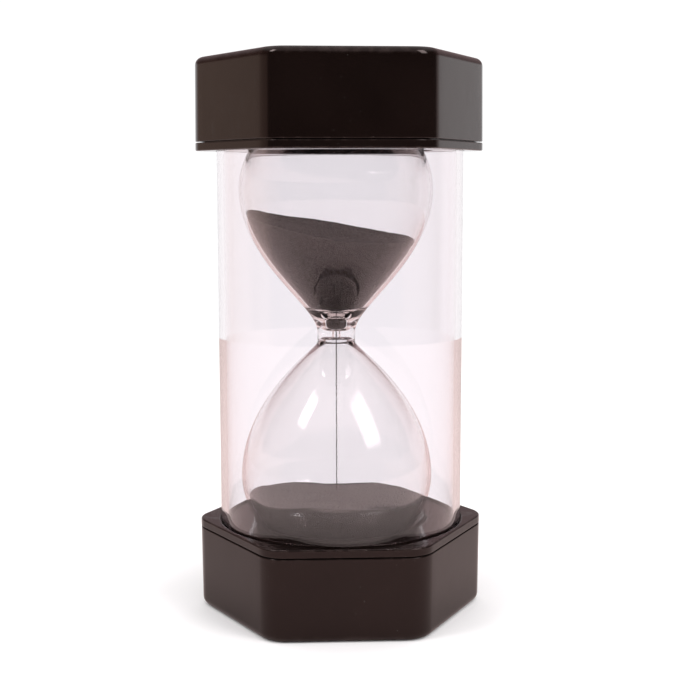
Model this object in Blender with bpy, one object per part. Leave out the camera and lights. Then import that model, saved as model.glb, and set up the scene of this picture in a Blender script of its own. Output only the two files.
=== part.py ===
"""Sand timer: a two-lobed glass bulb inside a clear tube, held between two hexagonal caps.

Metres, +Z up. The origin is the middle of the bottom cap's flat end, and one flat of each
cap faces -Y. Each cap is a shell, a cover plate and a cushion, built in the cap's own
frame: z = 0 at its flat end and z = CAP_HEIGHT at its open end. The top cap hangs from an
empty that turns it over.
"""

import math
from collections import namedtuple

import bmesh
import bpy
from mathutils import Matrix, Vector

# ---- Whole object ----
OVERALL_HEIGHT = 0.1600
ACROSS_FLATS = 0.0741  # of the caps, at their open ends
TOP_CAP_TWIST = math.radians(2.0)  # the glued caps are this far out of line

# ---- Cap shells ----
CAP_HEIGHT = 0.0263  # shell and cover plate together
CORNER_RADIUS = 0.0088  # upright corners of the hexagon
END_FILLET = 0.0023  # between the sides and the flat end
SIDE_TAPER = 0.00026  # how far each side leans in from the open end to the flat end
SHELL_WALL = 0.0018

# ---- Cover plates ----
PLATE_THICKNESS = 0.0023
PLATE_EDGE_RADIUS = 0.0004
SEAM_GAP = 0.0003  # between the plate and the rim of its shell
SPIGOT_DEPTH = 0.0030  # the plate's inner rim, which enters the shell
SPIGOT_WALL = 0.0014
SPIGOT_CLEARANCE = 0.0003
COLLAR_DEPTH = 0.0040  # the round lip that steadies the bulb, below the plate
COLLAR_WALL = 0.0014
GROOVE_DEPTH = 0.0013  # the tube stands this deep in the plate
GROOVE_CLEARANCE = 0.0004
GROOVE_TO_FLAT = 0.0012  # plate left between the groove and the middle of a flat

# ---- Clear tube ----
TUBE_WALL = 0.0020
BULB_TO_TUBE = 0.0054  # air between the widest part of the bulb and the tube

# ---- Glass bulb ----
BOTTOM_SINK = 0.0118  # how far the bulb's lower end sinks below the bottom plate's face
TOP_SINK = 0.0138  # how far its upper end rises above the top plate's face
BULB_OFF_CENTRE = 0.0012  # how far the bulb has settled towards -X in its cushions
BULB_WALL = 0.0009
WIDEST_SHARE = 0.627  # where each lobe is widest, from the neck (0) to its end (1)
NECK_RADIUS = 0.0055
THROAT_RADIUS = 0.0008
THROAT_LENGTH = 0.0020
CUP_RADIUS = 0.0032  # the small round cup that each lobe ends in, at the throat
CUP_FLOOR_HANDLE = 0.0020  # how flat the cup's floor is
FUNNEL_HANDLE = 0.0024  # how gently the cup opens into the even wall

# neck_length: straight part of the neck, from its middle. neck_handle: how gently the neck
# opens into the lobe. lobe_handle: how full the lobe's shoulder is. cup_depth: of the cup at
# the throat. cup_rise: how far the cup's side keeps upright. even_from: the distance from the
# neck's middle where the wall gets its even thickness.
LobeShape = namedtuple(
    "LobeShape", "neck_length neck_handle lobe_handle cup_depth cup_rise even_from"
)
UPPER_LOBE = LobeShape(0.0005, 0.0075, 0.0204, 0.0026, 0.0028, 0.0078)
LOWER_LOBE = LobeShape(0.0025, 0.0016, 0.0222, 0.0010, 0.0008, 0.0065)
STUB_RADIUS = 0.0048  # filling spout at the top end
STUB_WALL = 0.0014
STUB_HEIGHT = 0.0022
STUB_CLEARANCE = 0.0012  # round the spout, in the top cushion

# ---- Stopper ----
STOPPER_DEPTH = 0.0035
STOPPER_TAPER = 0.0004
STOPPER_HEAD = 0.0010

# ---- Cushions ----
CUSHION_TO_COLLAR = 0.0010  # a cushion's edge stays this far below the collar
REST_CLEARANCE = 0.0003  # between pieces that rest on each other

# ---- Sand ----
SAND_CLEARANCE = 0.0003
UPPER_SAND_DEPTH = 0.0304  # surface on the axis, above the neck's middle
UPPER_SAND_FALL = math.radians(8.9)  # how far the surface falls towards +X
UPPER_SAND_FRONT = math.radians(3.4)  # and how far it falls towards -Y
LOWER_SAND_DEPTH = 0.0181  # surface on the axis, above the bulb's lower end
LOWER_SAND_FALL = math.radians(1.0)
LOWER_SAND_FRONT = math.radians(-5.0)
STREAM_RADIUS = 0.00035

# ---- Fineness of the round shapes ----
CORNER_STEPS = 4
FLAT_STEPS = 5
FILLET_STEPS = 3
ROUND_STEPS = 36
LOBE_STEPS = 7
SIDE_STEPS = 9
FUNNEL_STEPS = 4
DISH_STEPS = 4

# ---- Sizes that follow from the ones above ----
TUBE_OUTER_RADIUS = ACROSS_FLATS / 2 - GROOVE_TO_FLAT - GROOVE_CLEARANCE
TUBE_INNER_RADIUS = TUBE_OUTER_RADIUS - TUBE_WALL
LOBE_RADIUS = TUBE_INNER_RADIUS - BULB_TO_TUBE
PLATE_UNDERSIDE = CAP_HEIGHT - PLATE_THICKNESS
COLLAR_FOOT = PLATE_UNDERSIDE - COLLAR_DEPTH
SHELL_RIM = PLATE_UNDERSIDE - SEAM_GAP
BULB_BOTTOM = CAP_HEIGHT - BOTTOM_SINK
BULB_TOP = OVERALL_HEIGHT - CAP_HEIGHT + TOP_SINK
BULB_MIDDLE = (BULB_BOTTOM + BULB_TOP) / 2
HALF_BULB = (BULB_TOP - BULB_BOTTOM) / 2
LOBE_OFFSET = HALF_BULB * WIDEST_SHARE  # from the neck to the widest part
LOBE_END = HALF_BULB - LOBE_OFFSET  # from the widest part to the end
LOWER_SAND_TOP = BULB_BOTTOM + LOWER_SAND_DEPTH
SEAT_CLEARANCE = BULB_OFF_CENTRE + GROOVE_CLEARANCE


def clear_scene():
    for scene_object in list(bpy.data.objects):
        bpy.data.objects.remove(scene_object, do_unlink=True)


def make_material(name, colour, roughness, metallic=0.0, alpha=1.0):
    material = bpy.data.materials.new(name)
    material.use_nodes = True
    shader = material.node_tree.nodes["Principled BSDF"]
    shader.inputs["Base Color"].default_value = (*colour, 1.0)
    shader.inputs["Roughness"].default_value = roughness
    shader.inputs["Metallic"].default_value = metallic
    shader.inputs["Alpha"].default_value = alpha
    return material


def add_object(name, bm, material, parent=None):
    """Turns a closed bmesh into a smooth-shaded object, with its faces pointing out."""
    bmesh.ops.recalc_face_normals(bm, faces=bm.faces)
    mesh = bpy.data.meshes.new(name)
    bm.to_mesh(mesh)
    bm.free()
    mesh.shade_smooth()
    mesh.set_sharp_from_angle(angle=math.radians(35))
    mesh.materials.append(material)
    made = bpy.data.objects.new(name, mesh)
    bpy.context.scene.collection.objects.link(made)
    made.parent = parent
    return made


# ---- Rings of points: every ring has its points at the same places round the axis ----


def hexagon_ring(inset, z):
    """A rounded hexagon with a corner on +X, moved in by inset from the cap's outline."""
    apothem = ACROSS_FLATS / 2 - inset
    radius = max(CORNER_RADIUS - inset, PLATE_EDGE_RADIUS)
    corner = (apothem - radius) / math.cos(math.pi / 6)
    points = []
    for side in range(6):
        middle = side * math.pi / 3
        centre = Vector((corner * math.cos(middle), corner * math.sin(middle), z))
        for step in range(CORNER_STEPS + 1):
            angle = middle + math.pi / 3 * (step / CORNER_STEPS - 0.5)
            points.append(centre + radius * Vector((math.cos(angle), math.sin(angle), 0)))
    return with_flat_points(points)


def with_flat_points(points):
    """Adds evenly spaced points along each flat, between one corner and the next."""
    per_corner = CORNER_STEPS + 1
    ring = []
    for side in range(6):
        ring += points[side * per_corner : (side + 1) * per_corner]
        start = points[side * per_corner + CORNER_STEPS]
        end = points[(side + 1) * per_corner % len(points)]
        for step in range(1, FLAT_STEPS):
            ring.append(start.lerp(end, step / FLAT_STEPS))
    return ring


def circle_ring(radius, z):
    """A circle whose points lie in the same directions as those of the cap's outline."""
    return [
        radius * Vector((point.x, point.y, 0)).normalized() + Vector((0, 0, z))
        for point in hexagon_ring(0, 0)
    ]


def bridge(bm, lower, upper):
    for index in range(len(lower)):
        following = (index + 1) % len(lower)
        bm.faces.new((lower[index], lower[following], upper[following], upper[index]))


def stack_rings(rings, closed):
    """Joins rings one to the next. A closed stack joins the last to the first, and an
    open one has a flat face on its first and last ring."""
    bm = bmesh.new()
    loops = [[bm.verts.new(point) for point in ring] for ring in rings]
    for lower, upper in zip(loops, loops[1:]):
        bridge(bm, lower, upper)
    if closed:
        bridge(bm, loops[-1], loops[0])
    else:
        bm.faces.new(loops[0])
        bm.faces.new(loops[-1])
    return bm


# ---- Turned shapes ----


def off_centre(bm):
    """Moves a shape to where the bulb has settled."""
    bmesh.ops.translate(bm, verts=bm.verts, vec=(-BULB_OFF_CENTRE, 0, 0))
    return bm


def turned(profile, closed=False):
    """Spins a profile of (radius, height) points round the axis. A profile that isn't
    closed starts and ends on the axis."""
    bm = bmesh.new()
    points = [bm.verts.new((radius, 0, height)) for radius, height in profile]
    edges = [bm.edges.new(pair) for pair in zip(points, points[1:])]
    if closed:
        edges.append(bm.edges.new((points[-1], points[0])))
    bmesh.ops.spin(
        bm,
        geom=points + edges,
        cent=(0, 0, 0),
        axis=(0, 0, 1),
        angle=2 * math.pi,
        steps=ROUND_STEPS,
        use_merge=True,
    )
    bmesh.ops.remove_doubles(bm, verts=bm.verts, dist=1e-6)
    return bm


def arc(centre, semi_axes, start, end, steps):
    """Points on an ellipse, from one angle to another."""
    angles = [start + (end - start) * step / steps for step in range(steps + 1)]
    return [
        (centre[0] + semi_axes[0] * math.cos(a), centre[1] + semi_axes[1] * math.sin(a))
        for a in angles
    ]


def smooth_curve(start, end, leave, arrive, steps):
    """A smooth curve that leaves start along one handle and reaches end along another."""
    first = Vector(start)
    last = Vector(end)
    handles = (first + Vector(leave), last - Vector(arrive))
    points = []
    for step in range(steps + 1):
        t = step / steps
        point = (
            first * (1 - t) ** 3
            + handles[0] * 3 * t * (1 - t) ** 2
            + handles[1] * 3 * t * t * (1 - t)
            + last * t**3
        )
        points.append(tuple(point))
    return points


def moved_in(profile, distance):
    """Moves each point of a profile square to the curve, to its left-hand side."""
    moved = []
    for index, point in enumerate(profile):
        before = Vector(profile[max(index - 1, 0)])
        after = Vector(profile[min(index + 1, len(profile) - 1)])
        along = (after - before).normalized()
        moved.append((point[0] - along.y * distance, point[1] + along.x * distance))
    return moved


# ---- The bulb's outlines, as (radius, height above the neck's middle) ----


def lobe_end_angle(inset, opening):
    """The angle, seen from the lobe's middle, at which its end meets a round opening."""
    return math.acos(opening / (LOBE_RADIUS - inset))


def outer_side(shape):
    """The outer wall of a lobe, from the neck to its widest part."""
    neck = (NECK_RADIUS, shape.neck_length)
    widest = (LOBE_RADIUS, LOBE_OFFSET)
    handles = ((0, shape.neck_handle), (0, shape.lobe_handle))
    return smooth_curve(neck, widest, *handles, SIDE_STEPS)


def outer_half(shape, opening):
    """The outer wall of a lobe, from the neck to the edge of an opening in its end."""
    end_angle = lobe_end_angle(0, opening)
    end = arc((0, LOBE_OFFSET), (LOBE_RADIUS, LOBE_END), 0, end_angle, LOBE_STEPS)
    return outer_side(shape) + end[1:]


def inner_half(shape, opening):
    """The inner wall of a lobe: a small cup at the throat, a funnel, then an even wall."""
    throat = (THROAT_RADIUS, THROAT_LENGTH / 2)
    cup_rim = (CUP_RADIUS, THROAT_LENGTH / 2 + shape.cup_depth)
    even = moved_in(outer_side(shape), BULB_WALL)[:-1]
    even = [point for point in even if point[1] > shape.even_from]
    rise = (Vector(even[1]) - Vector(even[0])).normalized() * FUNNEL_HANDLE
    half_depth = (0, shape.cup_depth / 2)
    cup = smooth_curve(throat, cup_rim, (CUP_FLOOR_HANDLE, 0), half_depth, FUNNEL_STEPS)
    funnel = smooth_curve(cup_rim, even[0], (0, shape.cup_rise), rise, FUNNEL_STEPS)
    semi_axes = (LOBE_RADIUS - BULB_WALL, LOBE_END - BULB_WALL)
    end_angle = lobe_end_angle(BULB_WALL, opening)
    end = arc((0, LOBE_OFFSET), semi_axes, 0, end_angle, LOBE_STEPS)
    return cup + funnel[1:] + even[1:] + end


def at_height(profile, height, direction):
    """A half outline placed up (1) or down (-1) from a height."""
    return [(radius, height + direction * along) for radius, along in profile]


def lobe_radius_at(height, lobe_height, clearance):
    """Radius of the lobe's round end at a height, with clearance all round it."""
    rise = (height - lobe_height) / (LOBE_END + clearance)
    return (LOBE_RADIUS + clearance) * math.sqrt(max(1 - rise * rise, 0))


# ---- Caps ----


def taper_at(z):
    """How far a cap's sides lean in at a height in the cap's frame."""
    return SIDE_TAPER * (CAP_HEIGHT - z) / CAP_HEIGHT


def build_shell(name, material, parent):
    """A hexagonal cup: flat end, rounded edge, leaning sides and an open rim."""
    rings = []
    for step in range(FILLET_STEPS + 1):
        angle = math.pi / 2 * step / FILLET_STEPS
        z = END_FILLET * (1 - math.cos(angle))
        rings.append(hexagon_ring(END_FILLET * (1 - math.sin(angle)) + taper_at(z), z))
    floor_edge = max(END_FILLET - SHELL_WALL, PLATE_EDGE_RADIUS)
    wall_foot = SHELL_WALL + floor_edge
    rings += [
        hexagon_ring(taper_at(SHELL_RIM), SHELL_RIM),
        hexagon_ring(taper_at(SHELL_RIM) + SHELL_WALL, SHELL_RIM),
        hexagon_ring(taper_at(wall_foot) + SHELL_WALL, wall_foot),
        hexagon_ring(taper_at(0) + SHELL_WALL + floor_edge, SHELL_WALL),
    ]
    return add_object(name, stack_rings(rings, closed=False), material, parent)


def build_plate(name, lobe_height, material, parent):
    """The cap's cover: a spigot for the shell, a groove for the tube and a seat for the
    bulb's end, whose lobe is widest at lobe_height in the cap's frame."""
    edge = PLATE_EDGE_RADIUS
    half_edge = edge * math.sin(math.pi / 4)
    spigot = taper_at(SHELL_RIM) + SHELL_WALL + SPIGOT_CLEARANCE
    spigot_foot = PLATE_UNDERSIDE - SPIGOT_DEPTH
    groove_foot = CAP_HEIGHT - GROOVE_DEPTH
    seats = [
        (lobe_radius_at(z, lobe_height, SEAT_CLEARANCE), z)
        for z in (COLLAR_FOOT, PLATE_UNDERSIDE, CAP_HEIGHT)
    ]
    rings = [
        hexagon_ring(edge, CAP_HEIGHT),
        hexagon_ring(edge - half_edge, CAP_HEIGHT - edge + half_edge),
        hexagon_ring(0, CAP_HEIGHT - edge),
        hexagon_ring(0, PLATE_UNDERSIDE),
        hexagon_ring(spigot, PLATE_UNDERSIDE),
        hexagon_ring(spigot, spigot_foot),
        hexagon_ring(spigot + SPIGOT_WALL, spigot_foot),
        hexagon_ring(spigot + SPIGOT_WALL, PLATE_UNDERSIDE),
        circle_ring(seats[1][0] + COLLAR_WALL, PLATE_UNDERSIDE),
        circle_ring(seats[0][0] + COLLAR_WALL, COLLAR_FOOT),
    ]
    rings += [circle_ring(radius, z) for radius, z in seats]
    rings += [
        circle_ring(TUBE_INNER_RADIUS - GROOVE_CLEARANCE, CAP_HEIGHT),
        circle_ring(TUBE_INNER_RADIUS - GROOVE_CLEARANCE, groove_foot),
        circle_ring(TUBE_OUTER_RADIUS + GROOVE_CLEARANCE, groove_foot),
        circle_ring(TUBE_OUTER_RADIUS + GROOVE_CLEARANCE, CAP_HEIGHT),
    ]
    return add_object(name, stack_rings(rings, closed=True), material, parent)


def build_cushion(name, lobe_height, hole_radius, material, parent):
    """A foam disc on the shell's floor, dished to fit the bulb's end. The top one has a
    hole for the filling spout."""
    foot = SHELL_WALL + REST_CLEARANCE
    edge = COLLAR_FOOT - CUSHION_TO_COLLAR
    edge_radius = lobe_radius_at(edge, lobe_height, REST_CLEARANCE)
    dish = []
    for step in range(DISH_STEPS + 1):
        radius = hole_radius + (edge_radius - hole_radius) * step / DISH_STEPS
        share = radius / (LOBE_RADIUS + REST_CLEARANCE)
        drop = (LOBE_END + REST_CLEARANCE) * math.sqrt(1 - share * share)
        dish.append((radius, lobe_height - drop))
    profile = dish + [(edge_radius, foot), (hole_radius, foot)]
    bm = off_centre(turned(profile, closed=hole_radius > 0))
    return add_object(name, bm, material, parent)


def build_cap(side, lobe_height, hole_radius, materials, parent=None):
    build_shell(f"{side}_shell", materials["shell"], parent)
    build_plate(f"{side}_plate", lobe_height, materials["plate"], parent)
    build_cushion(f"{side}_cushion", lobe_height, hole_radius, materials["cushion"], parent)


# ---- Tube, bulb and stopper ----


def build_tube(material):
    """The clear tube, which stands in the grooves of both cover plates."""
    foot = CAP_HEIGHT - GROOVE_DEPTH + REST_CLEARANCE
    head = OVERALL_HEIGHT - foot
    profile = [
        (TUBE_INNER_RADIUS, foot),
        (TUBE_INNER_RADIUS, head),
        (TUBE_OUTER_RADIUS, head),
        (TUBE_OUTER_RADIUS, foot),
    ]
    return add_object("clear_tube", turned(profile, closed=True), material)


def build_bulb(material):
    """One blown vessel: closed at the bottom, with an open filling spout at the top."""
    bore = STUB_RADIUS - STUB_WALL
    spout_top = BULB_TOP + STUB_HEIGHT
    inside = at_height(inner_half(LOWER_LOBE, 0), BULB_MIDDLE, -1)[::-1]
    inside += at_height(inner_half(UPPER_LOBE, bore), BULB_MIDDLE, 1)
    outside = at_height(outer_half(UPPER_LOBE, STUB_RADIUS), BULB_MIDDLE, 1)[::-1]
    outside += at_height(outer_half(LOWER_LOBE, 0), BULB_MIDDLE, -1)
    profile = inside + [(bore, spout_top), (STUB_RADIUS, spout_top)] + outside
    bm = off_centre(turned(on_axis_at_ends(profile)))
    return add_object("glass_bulb", bm, material)


def on_axis_at_ends(profile):
    """Puts the first and last points exactly on the axis."""
    return [(0, profile[0][1])] + profile[1:-1] + [(0, profile[-1][1])]


def build_stopper(material):
    """The plug in the filling spout, with a head that covers the spout's rim."""
    rim = BULB_TOP + STUB_HEIGHT + REST_CLEARANCE
    plug = STUB_RADIUS - STUB_WALL - REST_CLEARANCE
    profile = [
        (0, rim + STOPPER_HEAD),
        (STUB_RADIUS, rim + STOPPER_HEAD),
        (STUB_RADIUS, rim),
        (plug, rim),
        (plug - STOPPER_TAPER, rim - STOPPER_DEPTH),
        (0, rim - STOPPER_DEPTH),
    ]
    return add_object("bulb_stopper", off_centre(turned(profile)), material)


# ---- Sand ----


def cut_level(bm, level, fall, front):
    """Removes what is above a plane that falls towards +X and towards -Y, and closes it."""
    normal = Vector((math.tan(fall), -math.tan(front), 1)).normalized()
    cut = bmesh.ops.bisect_plane(
        bm,
        geom=bm.verts[:] + bm.edges[:] + bm.faces[:],
        plane_co=(0, 0, level),
        plane_no=normal,
        clear_outer=True,
    )
    rim = [item for item in cut["geom_cut"] if isinstance(item, bmesh.types.BMEdge)]
    bmesh.ops.edgeloop_fill(bm, edges=rim)
    return bm


def sand_outline(shape):
    """The inner wall of a lobe, moved in, and closed on the axis at both ends."""
    wall = moved_in(inner_half(shape, 0), SAND_CLEARANCE)
    return on_axis_at_ends([wall[0]] + wall)


def build_upper_sand(material):
    """Sand still in the upper lobe, down to the mouth of the throat."""
    level = BULB_MIDDLE + UPPER_SAND_DEPTH
    bm = turned(at_height(sand_outline(UPPER_LOBE), BULB_MIDDLE, 1))
    bm = cut_level(bm, level, UPPER_SAND_FALL, UPPER_SAND_FRONT)
    return add_object("upper_sand", off_centre(bm), material)


def build_lower_sand(material):
    """Sand that has fallen to the end of the lower lobe."""
    bm = turned(at_height(sand_outline(LOWER_LOBE), BULB_MIDDLE, -1))
    bm = cut_level(bm, LOWER_SAND_TOP, LOWER_SAND_FALL, LOWER_SAND_FRONT)
    return add_object("lower_sand", off_centre(bm), material)


def build_stream(material):
    """The falling thread of sand, from the throat to the lower sand."""
    head = BULB_MIDDLE + THROAT_LENGTH / 2
    foot = LOWER_SAND_TOP + SAND_CLEARANCE
    profile = [(0, head), (STREAM_RADIUS, head), (STREAM_RADIUS, foot), (0, foot)]
    return add_object("sand_stream", off_centre(turned(profile)), material)


def make_materials():
    return {
        "shell": make_material("black_plastic", (0.018, 0.014, 0.013), 0.18),
        "plate": make_material("black_plate", (0.030, 0.026, 0.026), 0.15),
        "cushion": make_material("grey_foam", (0.12, 0.12, 0.12), 0.90),
        "tube": make_material("clear_plastic", (0.93, 0.90, 0.92), 0.04, alpha=0.15),
        "bulb": make_material("blown_glass", (0.95, 0.95, 0.96), 0.02, alpha=0.20),
        "stopper": make_material("stopper_rubber", (0.45, 0.42, 0.38), 0.70),
        "sand": make_material("black_sand", (0.020, 0.018, 0.018), 0.75),
    }


def main():
    clear_scene()
    materials = make_materials()
    top = bpy.data.objects.new("top_cap_place", None)
    bpy.context.scene.collection.objects.link(top)
    turned_over = Matrix.Rotation(TOP_CAP_TWIST, 4, "Z") @ Matrix.Rotation(math.pi, 4, "X")
    top.matrix_world = Matrix.Translation((0, 0, OVERALL_HEIGHT)) @ turned_over
    lower_lobe = BULB_MIDDLE - LOBE_OFFSET
    upper_lobe = OVERALL_HEIGHT - BULB_MIDDLE - LOBE_OFFSET
    spout_hole = STUB_RADIUS + STUB_CLEARANCE
    build_cap("bottom", lower_lobe, 0, materials)
    build_cap("top", upper_lobe, spout_hole, materials, top)
    build_tube(materials["tube"])
    build_bulb(materials["bulb"])
    build_stopper(materials["stopper"])
    build_upper_sand(materials["sand"])
    build_lower_sand(materials["sand"])
    build_stream(materials["sand"])


main()
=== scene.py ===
"""Sand timer: the finished look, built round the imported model.

Metres, +Z up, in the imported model's own frame. Two hexagonal caps hold a clear tube, and in
it a blown two-lobed bulb with black sand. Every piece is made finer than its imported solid,
in the same place, and gets a procedural finish.
"""

import logging
import math
from collections.abc import Callable, Sequence
from dataclasses import dataclass, field
from enum import Enum

import bmesh
import bpy
import numpy as np
from mathutils import Matrix, Vector, noise


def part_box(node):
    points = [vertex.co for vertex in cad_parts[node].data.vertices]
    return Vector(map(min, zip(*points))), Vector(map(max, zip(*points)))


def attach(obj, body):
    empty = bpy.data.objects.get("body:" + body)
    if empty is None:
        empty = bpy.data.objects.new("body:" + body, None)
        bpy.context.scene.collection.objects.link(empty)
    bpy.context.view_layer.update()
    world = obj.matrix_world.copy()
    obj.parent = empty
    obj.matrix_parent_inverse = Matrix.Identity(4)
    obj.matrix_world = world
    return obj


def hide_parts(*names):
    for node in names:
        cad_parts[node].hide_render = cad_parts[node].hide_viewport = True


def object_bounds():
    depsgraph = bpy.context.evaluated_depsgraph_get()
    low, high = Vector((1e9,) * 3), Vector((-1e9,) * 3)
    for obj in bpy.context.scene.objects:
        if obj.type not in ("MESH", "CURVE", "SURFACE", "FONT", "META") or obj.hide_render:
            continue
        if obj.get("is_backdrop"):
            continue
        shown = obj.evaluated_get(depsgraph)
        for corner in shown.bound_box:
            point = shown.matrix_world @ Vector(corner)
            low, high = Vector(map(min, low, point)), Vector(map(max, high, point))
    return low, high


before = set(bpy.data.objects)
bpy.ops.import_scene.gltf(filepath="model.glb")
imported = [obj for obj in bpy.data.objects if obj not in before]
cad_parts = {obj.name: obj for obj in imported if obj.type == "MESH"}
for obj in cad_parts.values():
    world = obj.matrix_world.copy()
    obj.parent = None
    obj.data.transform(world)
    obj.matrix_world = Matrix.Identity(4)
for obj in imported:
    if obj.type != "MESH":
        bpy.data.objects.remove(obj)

log = logging.getLogger("sand_timer")

Colour = tuple[float, float, float]
Point = tuple[float, float]
Place = tuple[float, float, float]
Value = float | int | bool | Sequence[float] | bpy.types.NodeSocket | bpy.types.ID

MILLIMETRE = 0.001
BODY = "root"


class Side(Enum):
    """Which end of the timer a cap closes."""

    BOTTOM = "bottom"
    TOP = "top"


class Outline(Enum):
    """The two outlines that a cap's surface follows."""

    HEXAGON = "hexagon"
    CIRCLE = "circle"


class Slot(Enum):
    """Names for material slots, which nothing here uses."""

    SHELL = "black_plastic"
    PLATE = "black_plate"
    FOAM = "grey_foam"
    TUBE = "clear_plastic"
    BULB = "blown_glass"
    STOPPER = "stopper_rubber"
    SAND = "black_sand"


# ---- Node trees ----


class Wiring:
    """Adds nodes to one tree and joins their sockets."""

    def __init__(self, tree: bpy.types.NodeTree) -> None:
        """Keeps the tree.

        Args:
            tree: The node tree to work on.
        """
        self.tree = tree

    def add(
        self, kind: str, values: dict[str | int, Value] | None = None, **settings: object
    ) -> bpy.types.Node:
        """Adds one node.

        Args:
            kind: Blender's identifier of the node type.
            values: What each input gets, by its name or place: a plain value or a socket.
            settings: The node's own settings.

        Returns:
            The new node.
        """
        node = self.tree.nodes.new(kind)
        for name, value in settings.items():
            setattr(node, name, value)
        for name, value in (values or {}).items():
            self.feed(node.inputs[name], value)
        return node

    def feed(self, socket: bpy.types.NodeSocket, value: Value) -> None:
        """Links a socket, or sets its plain value.

        Args:
            socket: The input.
            value: A socket to link from, or a value.
        """
        if isinstance(value, bpy.types.NodeSocket):
            self.tree.links.new(value, socket)
        else:
            socket.default_value = value

    def math(self, operation: str, *values: Value) -> bpy.types.NodeSocket:
        """Adds a Math node.

        Args:
            operation: Blender's name of the operation.
            values: Its operands, in order.

        Returns:
            The result's socket.
        """
        node = self.add("ShaderNodeMath", dict(enumerate(values)), operation=operation)
        return node.outputs[0]

    def spread(
        self, value: Value, low: float, high: float, to: Point = (0.0, 1.0)
    ) -> bpy.types.NodeSocket:
        """Maps a range smoothly onto another, and clamps it.

        Args:
            value: The value to map.
            low: Where the range starts.
            high: Where the range ends.
            to: What those two become.

        Returns:
            The result's socket.
        """
        values = {"Value": value, "From Min": low, "From Max": high}
        values |= {"To Min": to[0], "To Max": to[1]}
        node = self.add("ShaderNodeMapRange", values, interpolation_type="SMOOTHSTEP")
        return node.outputs["Result"]

    def noise(
        self, place: Value, scale: Value, detail: float = 2.0, rough: float = 0.5
    ) -> bpy.types.NodeSocket:
        """Adds a Noise texture.

        Args:
            place: The coordinates that it reads.
            scale: How many features there are in a metre.
            detail: How many finer layers it has.
            rough: How strong those layers are.

        Returns:
            The noise's socket, from 0 to 1.
        """
        values = {"Vector": place, "Scale": scale, "Detail": detail, "Roughness": rough}
        return self.add("ShaderNodeTexNoise", values).outputs["Fac"]

    def stretched(self, place: Value, scale: Place) -> bpy.types.NodeSocket:
        """Scales coordinates by a different amount along each axis.

        Args:
            place: The coordinates.
            scale: The three factors.

        Returns:
            The scaled coordinates.
        """
        node = self.add("ShaderNodeMapping", {"Vector": place, "Scale": scale})
        return node.outputs["Vector"]

    def mixed(self, share: Value, first: Value, second: Value) -> bpy.types.NodeSocket:
        """Mixes two colours.

        Args:
            share: How much of the second shows.
            first: The first colour.
            second: The second colour.

        Returns:
            The mixed colour's socket.
        """
        node = self.add("ShaderNodeMix", data_type="RGBA")
        sockets = [s for s in node.inputs if s.enabled]
        for socket, value in zip(sockets, (share, first, second)):
            self.feed(socket, value)
        return next(s for s in node.outputs if s.enabled)


def new_group(
    name: str, kind: str, inputs: dict[str, tuple[str, Value | None]], outputs: dict[str, str]
) -> tuple[Wiring, bpy.types.Node, bpy.types.Node]:
    """Starts a node group with named sockets.

    Args:
        name: The group's name.
        kind: The tree's type.
        inputs: Each input's socket type and default value.
        outputs: Each output's socket type.

    Returns:
        The wiring, the group's input node and its output node.
    """
    tree = bpy.data.node_groups.new(name, kind)
    for label, (socket_type, value) in inputs.items():
        socket = tree.interface.new_socket(label, in_out="INPUT", socket_type=socket_type)
        if value is not None:
            socket.default_value = value
    for label, socket_type in outputs.items():
        tree.interface.new_socket(label, in_out="OUTPUT", socket_type=socket_type)
    wiring = Wiring(tree)
    return wiring, wiring.add("NodeGroupInput"), wiring.add("NodeGroupOutput")


# ---- Effects that several finishes share ----


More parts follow.
